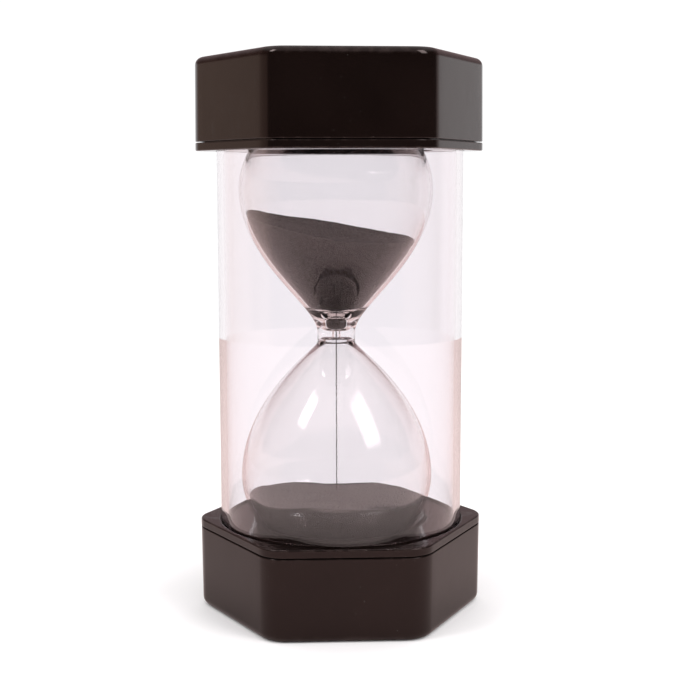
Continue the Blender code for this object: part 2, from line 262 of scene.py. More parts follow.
class Effects:
    """The shader node groups, each built once and placed in the finishes that use it."""

    def __init__(self) -> None:
        """Builds every group."""
        self.smudges = self._smudges()
        self.scratches = self._scratches()
        self.dust = self._dust()
        self.grain = self._grain()

    def _smudges(self) -> bpy.types.NodeTree:
        """Soft patches left by handling, as a mask.

        Returns:
            The group.
        """
        inputs = {"Vector": ("NodeSocketVector", None), "Size": ("NodeSocketFloat", 0.02)}
        wiring, given, put = new_group(
            "handling_smudges", "ShaderNodeTree", inputs, {"Mask": "NodeSocketFloat"}
        )
        scale = wiring.math("DIVIDE", 1.0, given.outputs["Size"])
        patches = wiring.noise(given.outputs["Vector"], scale, 3.0, 0.6)
        streaks = wiring.stretched(given.outputs["Vector"], (1.0, 1.0, 0.25))
        wiped = wiring.noise(streaks, wiring.math("MULTIPLY", scale, 6.0), 2.0, 0.55)
        mask = wiring.math(
            "MULTIPLY", wiring.spread(patches, 0.48, 0.72), wiring.spread(wiped, 0.3, 0.75)
        )
        wiring.feed(put.inputs["Mask"], mask)
        return wiring.tree

    def _scratches(self) -> bpy.types.NodeTree:
        """Hairline scratches in two directions, as a mask.

        Returns:
            The group.
        """
        inputs = {"Vector": ("NodeSocketVector", None), "Scale": ("NodeSocketFloat", 60.0)}
        wiring, given, put = new_group(
            "hairline_scratches", "ShaderNodeTree", inputs, {"Mask": "NodeSocketFloat"}
        )
        lines = []
        for turn, seed in ((0.5, 3.1), (-0.9, 7.7)):
            turned_place = wiring.add(
                "ShaderNodeMapping",
                {
                    "Vector": given.outputs["Vector"],
                    "Rotation": (turn, turn * 0.6, turn),
                    "Location": (seed, seed, seed),
                    "Scale": (1.0, 14.0, 1.0),
                },
            )
            fine = wiring.noise(turned_place.outputs["Vector"], given.outputs["Scale"], 1.0)
            near = wiring.math("ABSOLUTE", wiring.math("SUBTRACT", fine, 0.5))
            where = wiring.noise(given.outputs["Vector"], 90.0 + seed, 1.0)
            line = wiring.spread(near, 0.0, 0.004, (1.0, 0.0))
            lines.append(wiring.math("MULTIPLY", line, wiring.spread(where, 0.52, 0.68)))
        wiring.feed(put.inputs["Mask"], wiring.math("MAXIMUM", *lines))
        return wiring.tree

    def _dust(self) -> bpy.types.NodeTree:
        """Specks that have settled, more of them where a surface faces up, as a mask.

        Returns:
            The group.
        """
        inputs = {
            "Vector": ("NodeSocketVector", None),
            "Spacing": ("NodeSocketFloat", 0.002),
            "Speck": ("NodeSocketFloat", 0.06),
        }
        wiring, given, put = new_group(
            "settled_dust", "ShaderNodeTree", inputs, {"Mask": "NodeSocketFloat"}
        )
        scale = wiring.math("DIVIDE", 1.0, given.outputs["Spacing"])
        cells = wiring.add(
            "ShaderNodeTexVoronoi", {"Vector": given.outputs["Vector"], "Scale": scale}
        )
        size = wiring.math(
            "MULTIPLY", cells.outputs["Color"], given.outputs["Speck"]
        )
        speck = wiring.math("LESS_THAN", cells.outputs["Distance"], size)
        normal = wiring.add("ShaderNodeNewGeometry").outputs["Normal"]
        facing = wiring.add("ShaderNodeSeparateXYZ", {0: normal})
        up = wiring.spread(facing.outputs["Z"], -0.3, 0.9, (0.25, 1.0))
        here = wiring.spread(wiring.noise(given.outputs["Vector"], 70.0), 0.45, 0.6)
        mask = wiring.math("MULTIPLY", speck, wiring.math("MULTIPLY", up, here))
        wiring.feed(put.inputs["Mask"], mask)
        return wiring.tree

    def _grain(self) -> bpy.types.NodeTree:
        """Fine unevenness of a cast, moulded or blown surface, as a height.

        Returns:
            The group.
        """
        inputs = {
            "Vector": ("NodeSocketVector", None),
            "Coarse": ("NodeSocketFloat", 0.01),
            "Fine": ("NodeSocketFloat", 0.0008),
            "Fine share": ("NodeSocketFloat", 0.2),
        }
        wiring, given, put = new_group(
            "surface_grain", "ShaderNodeTree", inputs, {"Height": "NodeSocketFloat"}
        )
        layers = [
            wiring.noise(
                given.outputs["Vector"], wiring.math("DIVIDE", 1.0, given.outputs[name]), 2.0
            )
            for name in ("Coarse", "Fine")
        ]
        fine = wiring.math("MULTIPLY", layers[1], given.outputs["Fine share"])
        wiring.feed(put.inputs["Height"], wiring.math("ADD", layers[0], fine))
        return wiring.tree

    @staticmethod
    def place(
        wiring: Wiring, group: bpy.types.NodeTree, values: dict[str | int, Value]
    ) -> bpy.types.NodeSocket:
        """Puts a group in a material.

        Args:
            wiring: The material's wiring.
            group: Which group.
            values: Its inputs.

        Returns:
            The group's first output.
        """
        node = wiring.add("ShaderNodeGroup", node_tree=group)
        for name, value in values.items():
            wiring.feed(node.inputs[name], value)
        return node.outputs[0]


# ---- Finishes ----


@dataclass(frozen=True)
class Finish:
    """What every finish has: a name, a colour and a roughness."""

    name: str
    colour: Colour
    roughness: float

    def start(self) -> tuple[bpy.types.Material, Wiring, bpy.types.Node, bpy.types.NodeSocket]:
        """Makes the material with its shader.

        Returns:
            The material, its wiring, its Principled shader and its object coordinates.
        """
        material = bpy.data.materials.new(self.name)
        material.use_nodes = True
        wiring = Wiring(material.node_tree)
        shader = material.node_tree.nodes["Principled BSDF"]
        shader.inputs["Base Color"].default_value = (*self.colour, 1.0)
        shader.inputs["Roughness"].default_value = self.roughness
        place = wiring.add("ShaderNodeTexCoord").outputs["Object"]
        return material, wiring, shader, place

    def bumped(
        self, wiring: Wiring, shader: bpy.types.Node, height: Value, depth: float
    ) -> None:
        """Gives the shader a normal from a height.

        Args:
            wiring: The material's wiring.
            shader: Its shader.
            height: The height's socket, from 0 to 1.
            depth: How deep that range is, in metres.
        """
        bump = wiring.add("ShaderNodeBump", {"Height": height, "Distance": depth})
        wiring.feed(shader.inputs["Normal"], bump.outputs["Normal"])


@dataclass(frozen=True)
class GlossPlastic(Finish):
    """Dark moulded plastic with a high gloss, a little handled."""

    worn: Colour = (0.03, 0.02, 0.018)
    # Tint of every reflection on the plastic: a painted warm cast that stands in for the
    # surroundings' light.
    painted_warm_reflection: Colour = (0.86, 0.68, 0.66)
    cast: float = 1.35
    ior: float = 1.43
    ripple: float = 0.000006

    def build(self, effects: Effects) -> bpy.types.Material:
        """Makes the material.

        Args:
            effects: The shared groups.

        Returns:
            The material.
        """
        material, wiring, shader, place = self.start()
        smudge = effects.place(wiring, effects.smudges, {"Vector": place, "Size": 0.016})
        scratch = effects.place(wiring, effects.scratches, {"Vector": place, "Scale": 55.0})
        dust = effects.place(
            wiring, effects.dust, {"Vector": place, "Spacing": 0.0016, "Speck": 0.075}
        )
        rub = wiring.add("ShaderNodeAttribute", attribute_name="edge_wear").outputs["Fac"]
        rubbed = wiring.math(
            "MULTIPLY", rub, wiring.spread(wiring.noise(place, 420.0, 3.0), 0.42, 0.7)
        )
        cast = wiring.noise(place, 38.0, 2.0)
        lighter = (*(channel * self.cast for channel in self.colour), 1.0)
        shade = wiring.mixed(wiring.spread(cast, 0.3, 0.7), (*self.colour, 1.0), lighter)
        shade = wiring.mixed(wiring.math("MULTIPLY", rubbed, 0.5), shade, (*self.worn, 1.0))
        shade = wiring.mixed(wiring.math("MULTIPLY", dust, 0.45), shade, (0.35, 0.33, 0.31, 1.0))
        wiring.feed(shader.inputs["Base Color"], shade)
        rough = wiring.math("MULTIPLY_ADD", smudge, 0.10, self.roughness)
        rough = wiring.math("MULTIPLY_ADD", scratch, 0.12, rough)
        rough = wiring.math("MULTIPLY_ADD", dust, 0.5, rough)
        wiring.feed(shader.inputs["Roughness"], rough)
        skin = effects.place(
            wiring,
            effects.grain,
            {"Vector": place, "Coarse": 0.011, "Fine": 0.0012, "Fine share": 0.10},
        )
        height = wiring.math("SUBTRACT", skin, wiring.math("MULTIPLY", scratch, 0.12))
        self.bumped(wiring, shader, height, self.ripple * 10)
        shader.inputs["IOR"].default_value = self.ior
        # Specular Tint warms every reflection: painted warm reflected light, not the plastic's own
        # colour.
        shader.inputs["Specular Tint"].default_value = (*self.painted_warm_reflection, 1.0)
        return material


@dataclass(frozen=True)
class Glass(Finish):
    """Clear glass or plastic, which lets lamps through to what it holds."""

    ior: float = 1.5
    through: Colour = (0.97, 0.96, 0.965)
    smudged: float = 0.03
    wave: float = 0.00001
    wave_size: float = 0.014

    def build(self, effects: Effects) -> bpy.types.Material:
        """Makes the material.

        Args:
            effects: The shared groups.

        Returns:
            The material.
        """
        material, wiring, shader, place = self.start()
        shader.inputs["Transmission Weight"].default_value = 1.0
        shader.inputs["IOR"].default_value = self.ior
        smudge = effects.place(wiring, effects.smudges, {"Vector": place, "Size": 0.024})
        dust = effects.place(
            wiring, effects.dust, {"Vector": place, "Spacing": 0.0045, "Speck": 0.03}
        )
        rough = wiring.math("MULTIPLY_ADD", smudge, self.smudged, self.roughness)
        rough = wiring.math("MULTIPLY_ADD", dust, 0.35, rough)
        wiring.feed(shader.inputs["Roughness"], rough)
        tint = wiring.mixed(
            wiring.math("MULTIPLY", dust, 0.5), (*self.colour, 1.0), (0.75, 0.72, 0.72, 1.0)
        )
        wiring.feed(shader.inputs["Base Color"], tint)
        waves = effects.place(
            wiring,
            effects.grain,
            {"Vector": place, "Coarse": self.wave_size, "Fine": 0.003, "Fine share": 0.04},
        )
        self.bumped(wiring, shader, waves, self.wave)
        clear = wiring.add("ShaderNodeBsdfTransparent", {"Color": (*self.through, 1.0)})
        path = wiring.add("ShaderNodeLightPath")
        lamp_ray = wiring.math(
            "MAXIMUM", path.outputs["Is Shadow Ray"], path.outputs["Is Diffuse Ray"]
        )
        mix = wiring.add(
            "ShaderNodeMixShader",
            {0: lamp_ray, 1: shader.outputs["BSDF"], 2: clear.outputs["BSDF"]},
        )
        surface = material.node_tree.nodes["Material Output"].inputs["Surface"]
        wiring.feed(surface, mix.outputs["Shader"])
        return material


@dataclass(frozen=True)
class BlackSand(Finish):
    """Black sand: each grain has its own shade, and a few shine."""

    pale: Colour = (0.045, 0.036, 0.034)
    shine: float = 0.5
    grain_size: float = 0.0003

    def build(self, effects: Effects) -> bpy.types.Material:
        """Makes the material.

        Args:
            effects: Not used.

        Returns:
            The material.
        """
        material, wiring, shader, place = self.start()
        grains = wiring.add(
            "ShaderNodeTexVoronoi", {"Vector": place, "Scale": 1.0 / self.grain_size}
        )
        own = wiring.add("ShaderNodeSeparateColor", {0: grains.outputs["Color"]})
        shade = wiring.mixed(
            wiring.spread(own.outputs["Red"], 0.45, 1.0), (*self.colour, 1.0), (*self.pale, 1.0)
        )
        damp = wiring.spread(wiring.noise(place, 110.0, 3.0), 0.35, 0.7)
        shade = wiring.mixed(
            wiring.math("MULTIPLY", damp, 0.35), shade, (*(c * 1.8 for c in self.colour), 1.0)
        )
        wiring.feed(shader.inputs["Base Color"], shade)
        shine = wiring.spread(own.outputs["Green"], 0.93, 0.97)
        rough = wiring.math("SUBTRACT", self.roughness, wiring.math("MULTIPLY", shine, 0.4))
        wiring.feed(shader.inputs["Roughness"], rough)
        height = wiring.math("SUBTRACT", 1.0, grains.outputs["Distance"])
        self.bumped(wiring, shader, height, self.grain_size * 0.45)
        shader.inputs["Specular IOR Level"].default_value = self.shine
        return material


@dataclass(frozen=True)
class Foam(Finish):
    """Open-cell foam, with painted shade in its pores."""

    cell: float = 0.0007

    def build(self, effects: Effects) -> bpy.types.Material:
        """Makes the material.

        Args:
            effects: Not used.

        Returns:
            The material.
        """
        material, wiring, shader, place = self.start()
        cells = wiring.add("ShaderNodeTexVoronoi", {"Vector": place, "Scale": 1.0 / self.cell})
        # Darker pores: painted shade in the foam's hollows. The same mask dents the bump.
        pore = wiring.spread(cells.outputs["Distance"], 0.1, 0.5)
        pore_shade = (*(c * 0.35 for c in self.colour), 1.0)
        wiring.feed(
            shader.inputs["Base Color"], wiring.mixed(pore, pore_shade, (*self.colour, 1.0))
        )
        uneven = wiring.noise(place, 260.0, 2.0)
        wiring.feed(shader.inputs["Roughness"], wiring.spread(uneven, 0.2, 0.8, (0.8, 0.98)))
        self.bumped(wiring, shader, pore, self.cell * 0.6)
        return material


@dataclass(frozen=True)
class Rubber(Finish):
    """Matt rubber with a dusty bloom."""

    bloom: Colour = (0.55, 0.52, 0.47)

    def build(self, effects: Effects) -> bpy.types.Material:
        """Makes the material.

        Args:
            effects: The shared groups.

        Returns:
            The material.
        """
        material, wiring, shader, place = self.start()
        smudge = effects.place(wiring, effects.smudges, {"Vector": place, "Size": 0.004})
        shade = wiring.mixed(
            wiring.math("MULTIPLY", smudge, 0.6), (*self.colour, 1.0), (*self.bloom, 1.0)
        )
        wiring.feed(shader.inputs["Base Color"], shade)
        rough = wiring.math("MULTIPLY_ADD", smudge, 0.15, self.roughness)
        wiring.feed(shader.inputs["Roughness"], rough)
        skin = effects.place(
            wiring,
            effects.grain,
            {"Vector": place, "Coarse": 0.002, "Fine": 0.0003, "Fine share": 0.5},
        )
        self.bumped(wiring, shader, skin, 0.00004)
        return material


# ---- Curves and outlines ----


def arc(centre: Point, semi_axes: Point, start: float, end: float, steps: int) -> list[Point]:
    """Points on an ellipse, from one angle to another.

    Args:
        centre: The ellipse's middle.
        semi_axes: Its half width and half height.
        start: The first angle.
        end: The last angle.
        steps: How many stretches to make.

    Returns:
        The points.
    """
    angles = [start + (end - start) * step / steps for step in range(steps + 1)]
    return [
        (centre[0] + semi_axes[0] * math.cos(a), centre[1] + semi_axes[1] * math.sin(a))
        for a in angles
    ]


def smooth_curve(start: Point, end: Point, leave: Point, arrive: Point, steps: int) -> list[Point]:
    """A smooth curve from one point to another.

    Args:
        start: The first point.
        end: The last point.
        leave: The handle that it leaves its start along.
        arrive: The handle that it reaches its end along.
        steps: How many stretches to make.

    Returns:
        The points.
    """
    corners = [
        start,
        (start[0] + leave[0], start[1] + leave[1]),
        (end[0] - arrive[0], end[1] - arrive[1]),
        end,
    ]
    points = []
    for step in range(steps + 1):
        t = step / steps
        weights = ((1 - t) ** 3, 3 * t * (1 - t) ** 2, 3 * t * t * (1 - t), t**3)
        points.append(
            (
                sum(w * c[0] for w, c in zip(weights, corners)),
                sum(w * c[1] for w, c in zip(weights, corners)),
            )
        )
    return points


def moved_in(profile: Sequence[Point], distance: float) -> list[Point]:
    """Moves each point of a profile square to the curve, to its left-hand side.

    Args:
        profile: The points.
        distance: How far to move them.

    Returns:
        The moved points.
    """
    moved = []
    for index, point in enumerate(profile):
        before = Vector(profile[max(index - 1, 0)])
        after = Vector(profile[min(index + 1, len(profile) - 1)])
        along = (after - before).normalized()
        moved.append((max(point[0] - along.y * distance, 0.0), point[1] + along.x * distance))
    return moved


# ---- Objects ----


def finished(name: str, mesh: bpy.types.Mesh, nodes: Sequence[str]) -> bpy.types.Object:
    """Puts a finished mesh in the scene as a piece of the timer.

    Args:
        name: The piece's name.
        mesh: Its mesh, in place and with its material.
        nodes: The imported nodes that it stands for.

    Returns:
        The piece.
    """
    piece = bpy.data.objects.new(name, mesh)
    bpy.context.scene.collection.objects.link(piece)
    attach(piece, BODY)
    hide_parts(*nodes)
    log.info("%s: %d faces, for %s", name, len(mesh.polygons), ", ".join(nodes))
    return piece


def smoothed(mesh: bpy.types.Mesh, sharp: float = 40.0) -> None:
    """Shades a mesh smooth, apart from its sharp edges.

    Args:
        mesh: The mesh.
        sharp: The least angle of a sharp edge, in degrees.
    """
    mesh.shade_smooth()
    mesh.set_sharp_from_angle(angle=math.radians(sharp))


def outward(mesh: bpy.types.Mesh) -> None:
    """Merges what meets, and points every face out.

    Args:
        mesh: The mesh to mend.
    """
    bm = bmesh.new()
    bm.from_mesh(mesh)
    bmesh.ops.remove_doubles(bm, verts=bm.verts, dist=1e-7)
    bmesh.ops.recalc_face_normals(bm, faces=bm.faces)
    bm.to_mesh(mesh)
    bm.free()


def through_nodes(
    mesh: bpy.types.Mesh, tree: bpy.types.NodeTree, values: dict[str, Value]
) -> bpy.types.Mesh:
    """Runs a mesh through a Geometry Nodes tree and keeps the plain result.

    Args:
        mesh: What goes in.
        tree: The tree.
        values: The tree's inputs, by name.

    Returns:
        The mesh that comes out.
    """
    carrier = bpy.data.objects.new(tree.name, mesh)
    bpy.context.scene.collection.objects.link(carrier)
    modifier = carrier.modifiers.new(tree.name, "NODES")
    modifier.node_group = tree
    for item in tree.interface.items_tree:
        if item.item_type == "SOCKET" and item.in_out == "INPUT" and item.name in values:
            modifier[item.identifier] = values[item.name]
    graph = bpy.context.evaluated_depsgraph_get()
    made = bpy.data.meshes.new_from_object(carrier.evaluated_get(graph), depsgraph=graph)
    bpy.data.objects.remove(carrier)
    return made


# ---- Geometry Nodes trees ----


@dataclass
class Workshop:
    """The Geometry Nodes trees: a lathe, a strewer of grains and a falling thread."""

    guide: float = 0.1
    lathe: bpy.types.NodeTree = field(init=False)
    strewer: bpy.types.NodeTree = field(init=False)
    thread: bpy.types.NodeTree = field(init=False)

    def __post_init__(self) -> None:
        """Builds the three trees."""
        self.lathe = self._lathe()
        self.strewer = self._strewer()
        self.thread = self._thread()

    def _lathe(self) -> bpy.types.NodeTree:
        """Turns a profile, drawn as (radius, 0, height), round the upright axis.

        Returns:
            The tree.
        """
        inputs = {
            "Profile": ("NodeSocketGeometry", None),
            "Segments": ("NodeSocketInt", 96),
            "Finish": ("NodeSocketMaterial", None),
        }
        wiring, given, put = new_group(
            "lathe", "GeometryNodeTree", inputs, {"Geometry": "NodeSocketGeometry"}
        )
        position = wiring.add("GeometryNodeInputPosition").outputs[0]
        place = wiring.add("ShaderNodeSeparateXYZ", {0: position})
        flat = wiring.add(
            "ShaderNodeCombineXYZ",
            {
                "X": wiring.math("SUBTRACT", place.outputs["X"], self.guide),
                "Y": wiring.math("MULTIPLY", place.outputs["Z"], -1.0),
            },
        )
        laid = wiring.add(
            "GeometryNodeSetPosition",
            {"Geometry": given.outputs["Profile"], "Position": flat.outputs["Vector"]},
        )
        profile = wiring.add("GeometryNodeMeshToCurve", {"Mesh": laid.outputs["Geometry"]})
        circle = wiring.add(
            "GeometryNodeCurvePrimitiveCircle",
            {"Resolution": given.outputs["Segments"], "Radius": self.guide},
        )
        swept = wiring.add(
            "GeometryNodeCurveToMesh",
            {"Curve": circle.outputs["Curve"], "Profile Curve": profile.outputs["Curve"]},
        )
        merged = wiring.add(
            "GeometryNodeMergeByDistance", {"Geometry": swept.outputs["Mesh"], "Distance": 2e-6}
        )
        self._end(wiring, merged.outputs["Geometry"], given.outputs["Finish"], put)
        return wiring.tree

    def _strewer(self) -> bpy.types.NodeTree:
        """Strews loose grains over the faces that carry the strewn attribute.

        Returns:
            The tree.
        """
        inputs = {
            "Heap": ("NodeSocketGeometry", None),
            "Grains per area": ("NodeSocketFloat", 1e6),
            "Grain size": ("NodeSocketFloat", 0.0003),
            "Seed": ("NodeSocketInt", 1),
            "Finish": ("NodeSocketMaterial", None),
        }
        wiring, given, put = new_group(
            "strewer", "GeometryNodeTree", inputs, {"Geometry": "NodeSocketGeometry"}
        )
        strewn = wiring.add(
            "GeometryNodeInputNamedAttribute", {"Name": "strewn"}, data_type="FLOAT"
        )
        density = wiring.math("MULTIPLY", strewn.outputs[0], given.outputs["Grains per area"])
        points = wiring.add(
            "GeometryNodeDistributePointsOnFaces",
            {
                "Mesh": given.outputs["Heap"],
                "Density": density,
                "Seed": given.outputs["Seed"],
            },
        )
        radius = wiring.math("MULTIPLY", given.outputs["Grain size"], 0.5)
        grain = wiring.add("GeometryNodeMeshIcoSphere", {"Radius": radius, "Subdivisions": 1})
        placed = wiring.add(
            "GeometryNodeInstanceOnPoints",
            {
                "Points": points.outputs["Points"],
                "Instance": grain.outputs["Mesh"],
                "Rotation": self._random_turn(wiring, given.outputs["Seed"]),
                "Scale": self._random_scale(wiring, given.outputs["Seed"], 0.55, 1.25),
            },
        )
        loose = wiring.add("GeometryNodeRealizeInstances", {0: placed.outputs["Instances"]})
        both = wiring.add("GeometryNodeJoinGeometry")
        wiring.feed(both.inputs["Geometry"], loose.outputs["Geometry"])
        wiring.feed(both.inputs["Geometry"], given.outputs["Heap"])
        self._end(wiring, both.outputs["Geometry"], given.outputs["Finish"], put)
        return wiring.tree

    def _thread(self) -> bpy.types.NodeTree:
        """Lets grains fall along a line, each strayed a random distance to the side, within the
        spread.

        Returns:
            The tree.
        """
        inputs = {
            "Line": ("NodeSocketGeometry", None),
            "Grain size": ("NodeSocketFloat", 0.0003),
            "Spread": ("NodeSocketFloat", 0.0002),
            "Seed": ("NodeSocketInt", 5),
            "Finish": ("NodeSocketMaterial", None),
        }
        wiring, given, put = new_group(
            "falling_thread", "GeometryNodeTree", inputs, {"Geometry": "NodeSocketGeometry"}
        )
        spread = given.outputs["Spread"]
        back = wiring.math("MULTIPLY", spread, -1.0)
        low = wiring.add("ShaderNodeCombineXYZ", {"X": back, "Y": back, "Z": back})
        high = wiring.add("ShaderNodeCombineXYZ", {"X": spread, "Y": spread, "Z": spread})
        shift = self._random(wiring, given.outputs["Seed"], "FLOAT_VECTOR")
        wiring.feed(shift.inputs[0], low.outputs[0])
        wiring.feed(shift.inputs[1], high.outputs[0])
        strayed = wiring.add(
            "GeometryNodeSetPosition",
            {"Geometry": given.outputs["Line"], "Offset": shift.outputs[0]},
        )
        radius = wiring.math("MULTIPLY", given.outputs["Grain size"], 0.5)
        grain = wiring.add("GeometryNodeMeshIcoSphere", {"Radius": radius, "Subdivisions": 1})
        placed = wiring.add(
            "GeometryNodeInstanceOnPoints",
            {
                "Points": strayed.outputs["Geometry"],
                "Instance": grain.outputs["Mesh"],
                "Rotation": self._random_turn(wiring, given.outputs["Seed"]),
                "Scale": self._random_scale(wiring, given.outputs["Seed"], 0.6, 1.1),
            },
        )
        self._end(wiring, placed.outputs["Instances"], given.outputs["Finish"], put)
        return wiring.tree

    @staticmethod
    def _random(wiring: Wiring, seed: Value, data_type: str) -> bpy.types.Node:
        """Adds a Random Value node.

        Args:
            wiring: The tree's wiring.
            seed: The seed's socket.
            data_type: What kind of value it gives.

        Returns:
            The node.
        """
        node = wiring.add("FunctionNodeRandomValue", data_type=data_type)
        wiring.feed(node.inputs["Seed"], seed)
        return node

    def _random_turn(self, wiring: Wiring, seed: Value) -> bpy.types.NodeSocket:
        """A random rotation for each grain.

        Args:
            wiring: The tree's wiring.
            seed: The seed's socket.

        Returns:
            The rotation's socket.
        """
        node = self._random(wiring, seed, "FLOAT_VECTOR")
        node.inputs[1].default_value = (math.tau, math.tau, math.tau)
        return node.outputs[0]

    def _random_scale(
        self, wiring: Wiring, seed: Value, least: float, most: float
    ) -> bpy.types.NodeSocket:
        """A random scale for each grain, different along each axis.

        Args:
            wiring: The tree's wiring.
            seed: The seed's socket.
            least: The smallest factor.
            most: The largest factor.

        Returns:
            The scale's socket.
        """
        node = self._random(wiring, wiring.math("ADD", seed, 11), "FLOAT_VECTOR")
        node.inputs[0].default_value = (least,) * 3
        node.inputs[1].default_value = (most,) * 3
        return node.outputs[0]

    @staticmethod
    def _end(wiring: Wiring, geometry: Value, finish: Value, put: bpy.types.Node) -> None:
        """Ends a tree: realizes its instances and sets its material.

        Args:
            wiring: The tree's wiring.
            geometry: What it made.
            finish: The material's socket.
            put: The tree's output node.
        """
        real = wiring.add("GeometryNodeRealizeInstances", {0: geometry})
        dressed = wiring.add(
            "GeometryNodeSetMaterial", {"Geometry": real.outputs[0], "Material": finish}
        )
        wiring.feed(put.inputs["Geometry"], dressed.outputs["Geometry"])

    def turn(
        self,
        profile: Sequence[Point],
        finish: bpy.types.Material,
        segments: int,
        closed: bool = False,
    ) -> bpy.types.Mesh:
        """Turns a profile on the lathe.

        Args:
            profile: Points as (radius, height).
            finish: The material.
            segments: How many steps make a full turn.
            closed: Whether the last point joins the first.

        Returns:
            A closed, smooth mesh.
        """
        drawn = bpy.data.meshes.new("profile")
        count = len(profile)
        edges = [(index, index + 1) for index in range(count - 1)]
        if closed:
            edges.append((count - 1, 0))
        drawn.from_pydata([(radius, 0, height) for radius, height in profile], edges, [])
        mesh = through_nodes(drawn, self.lathe, {"Segments": segments, "Finish": finish})
        outward(mesh)
        smoothed(mesh)
        return mesh


# ---- Caps ----


@dataclass(frozen=True)
class Ring:
    """One ring of points of a cap's surface, in the cap's own frame."""

    outline: Outline
    size: float
    height: float
    wear: float = 0.0


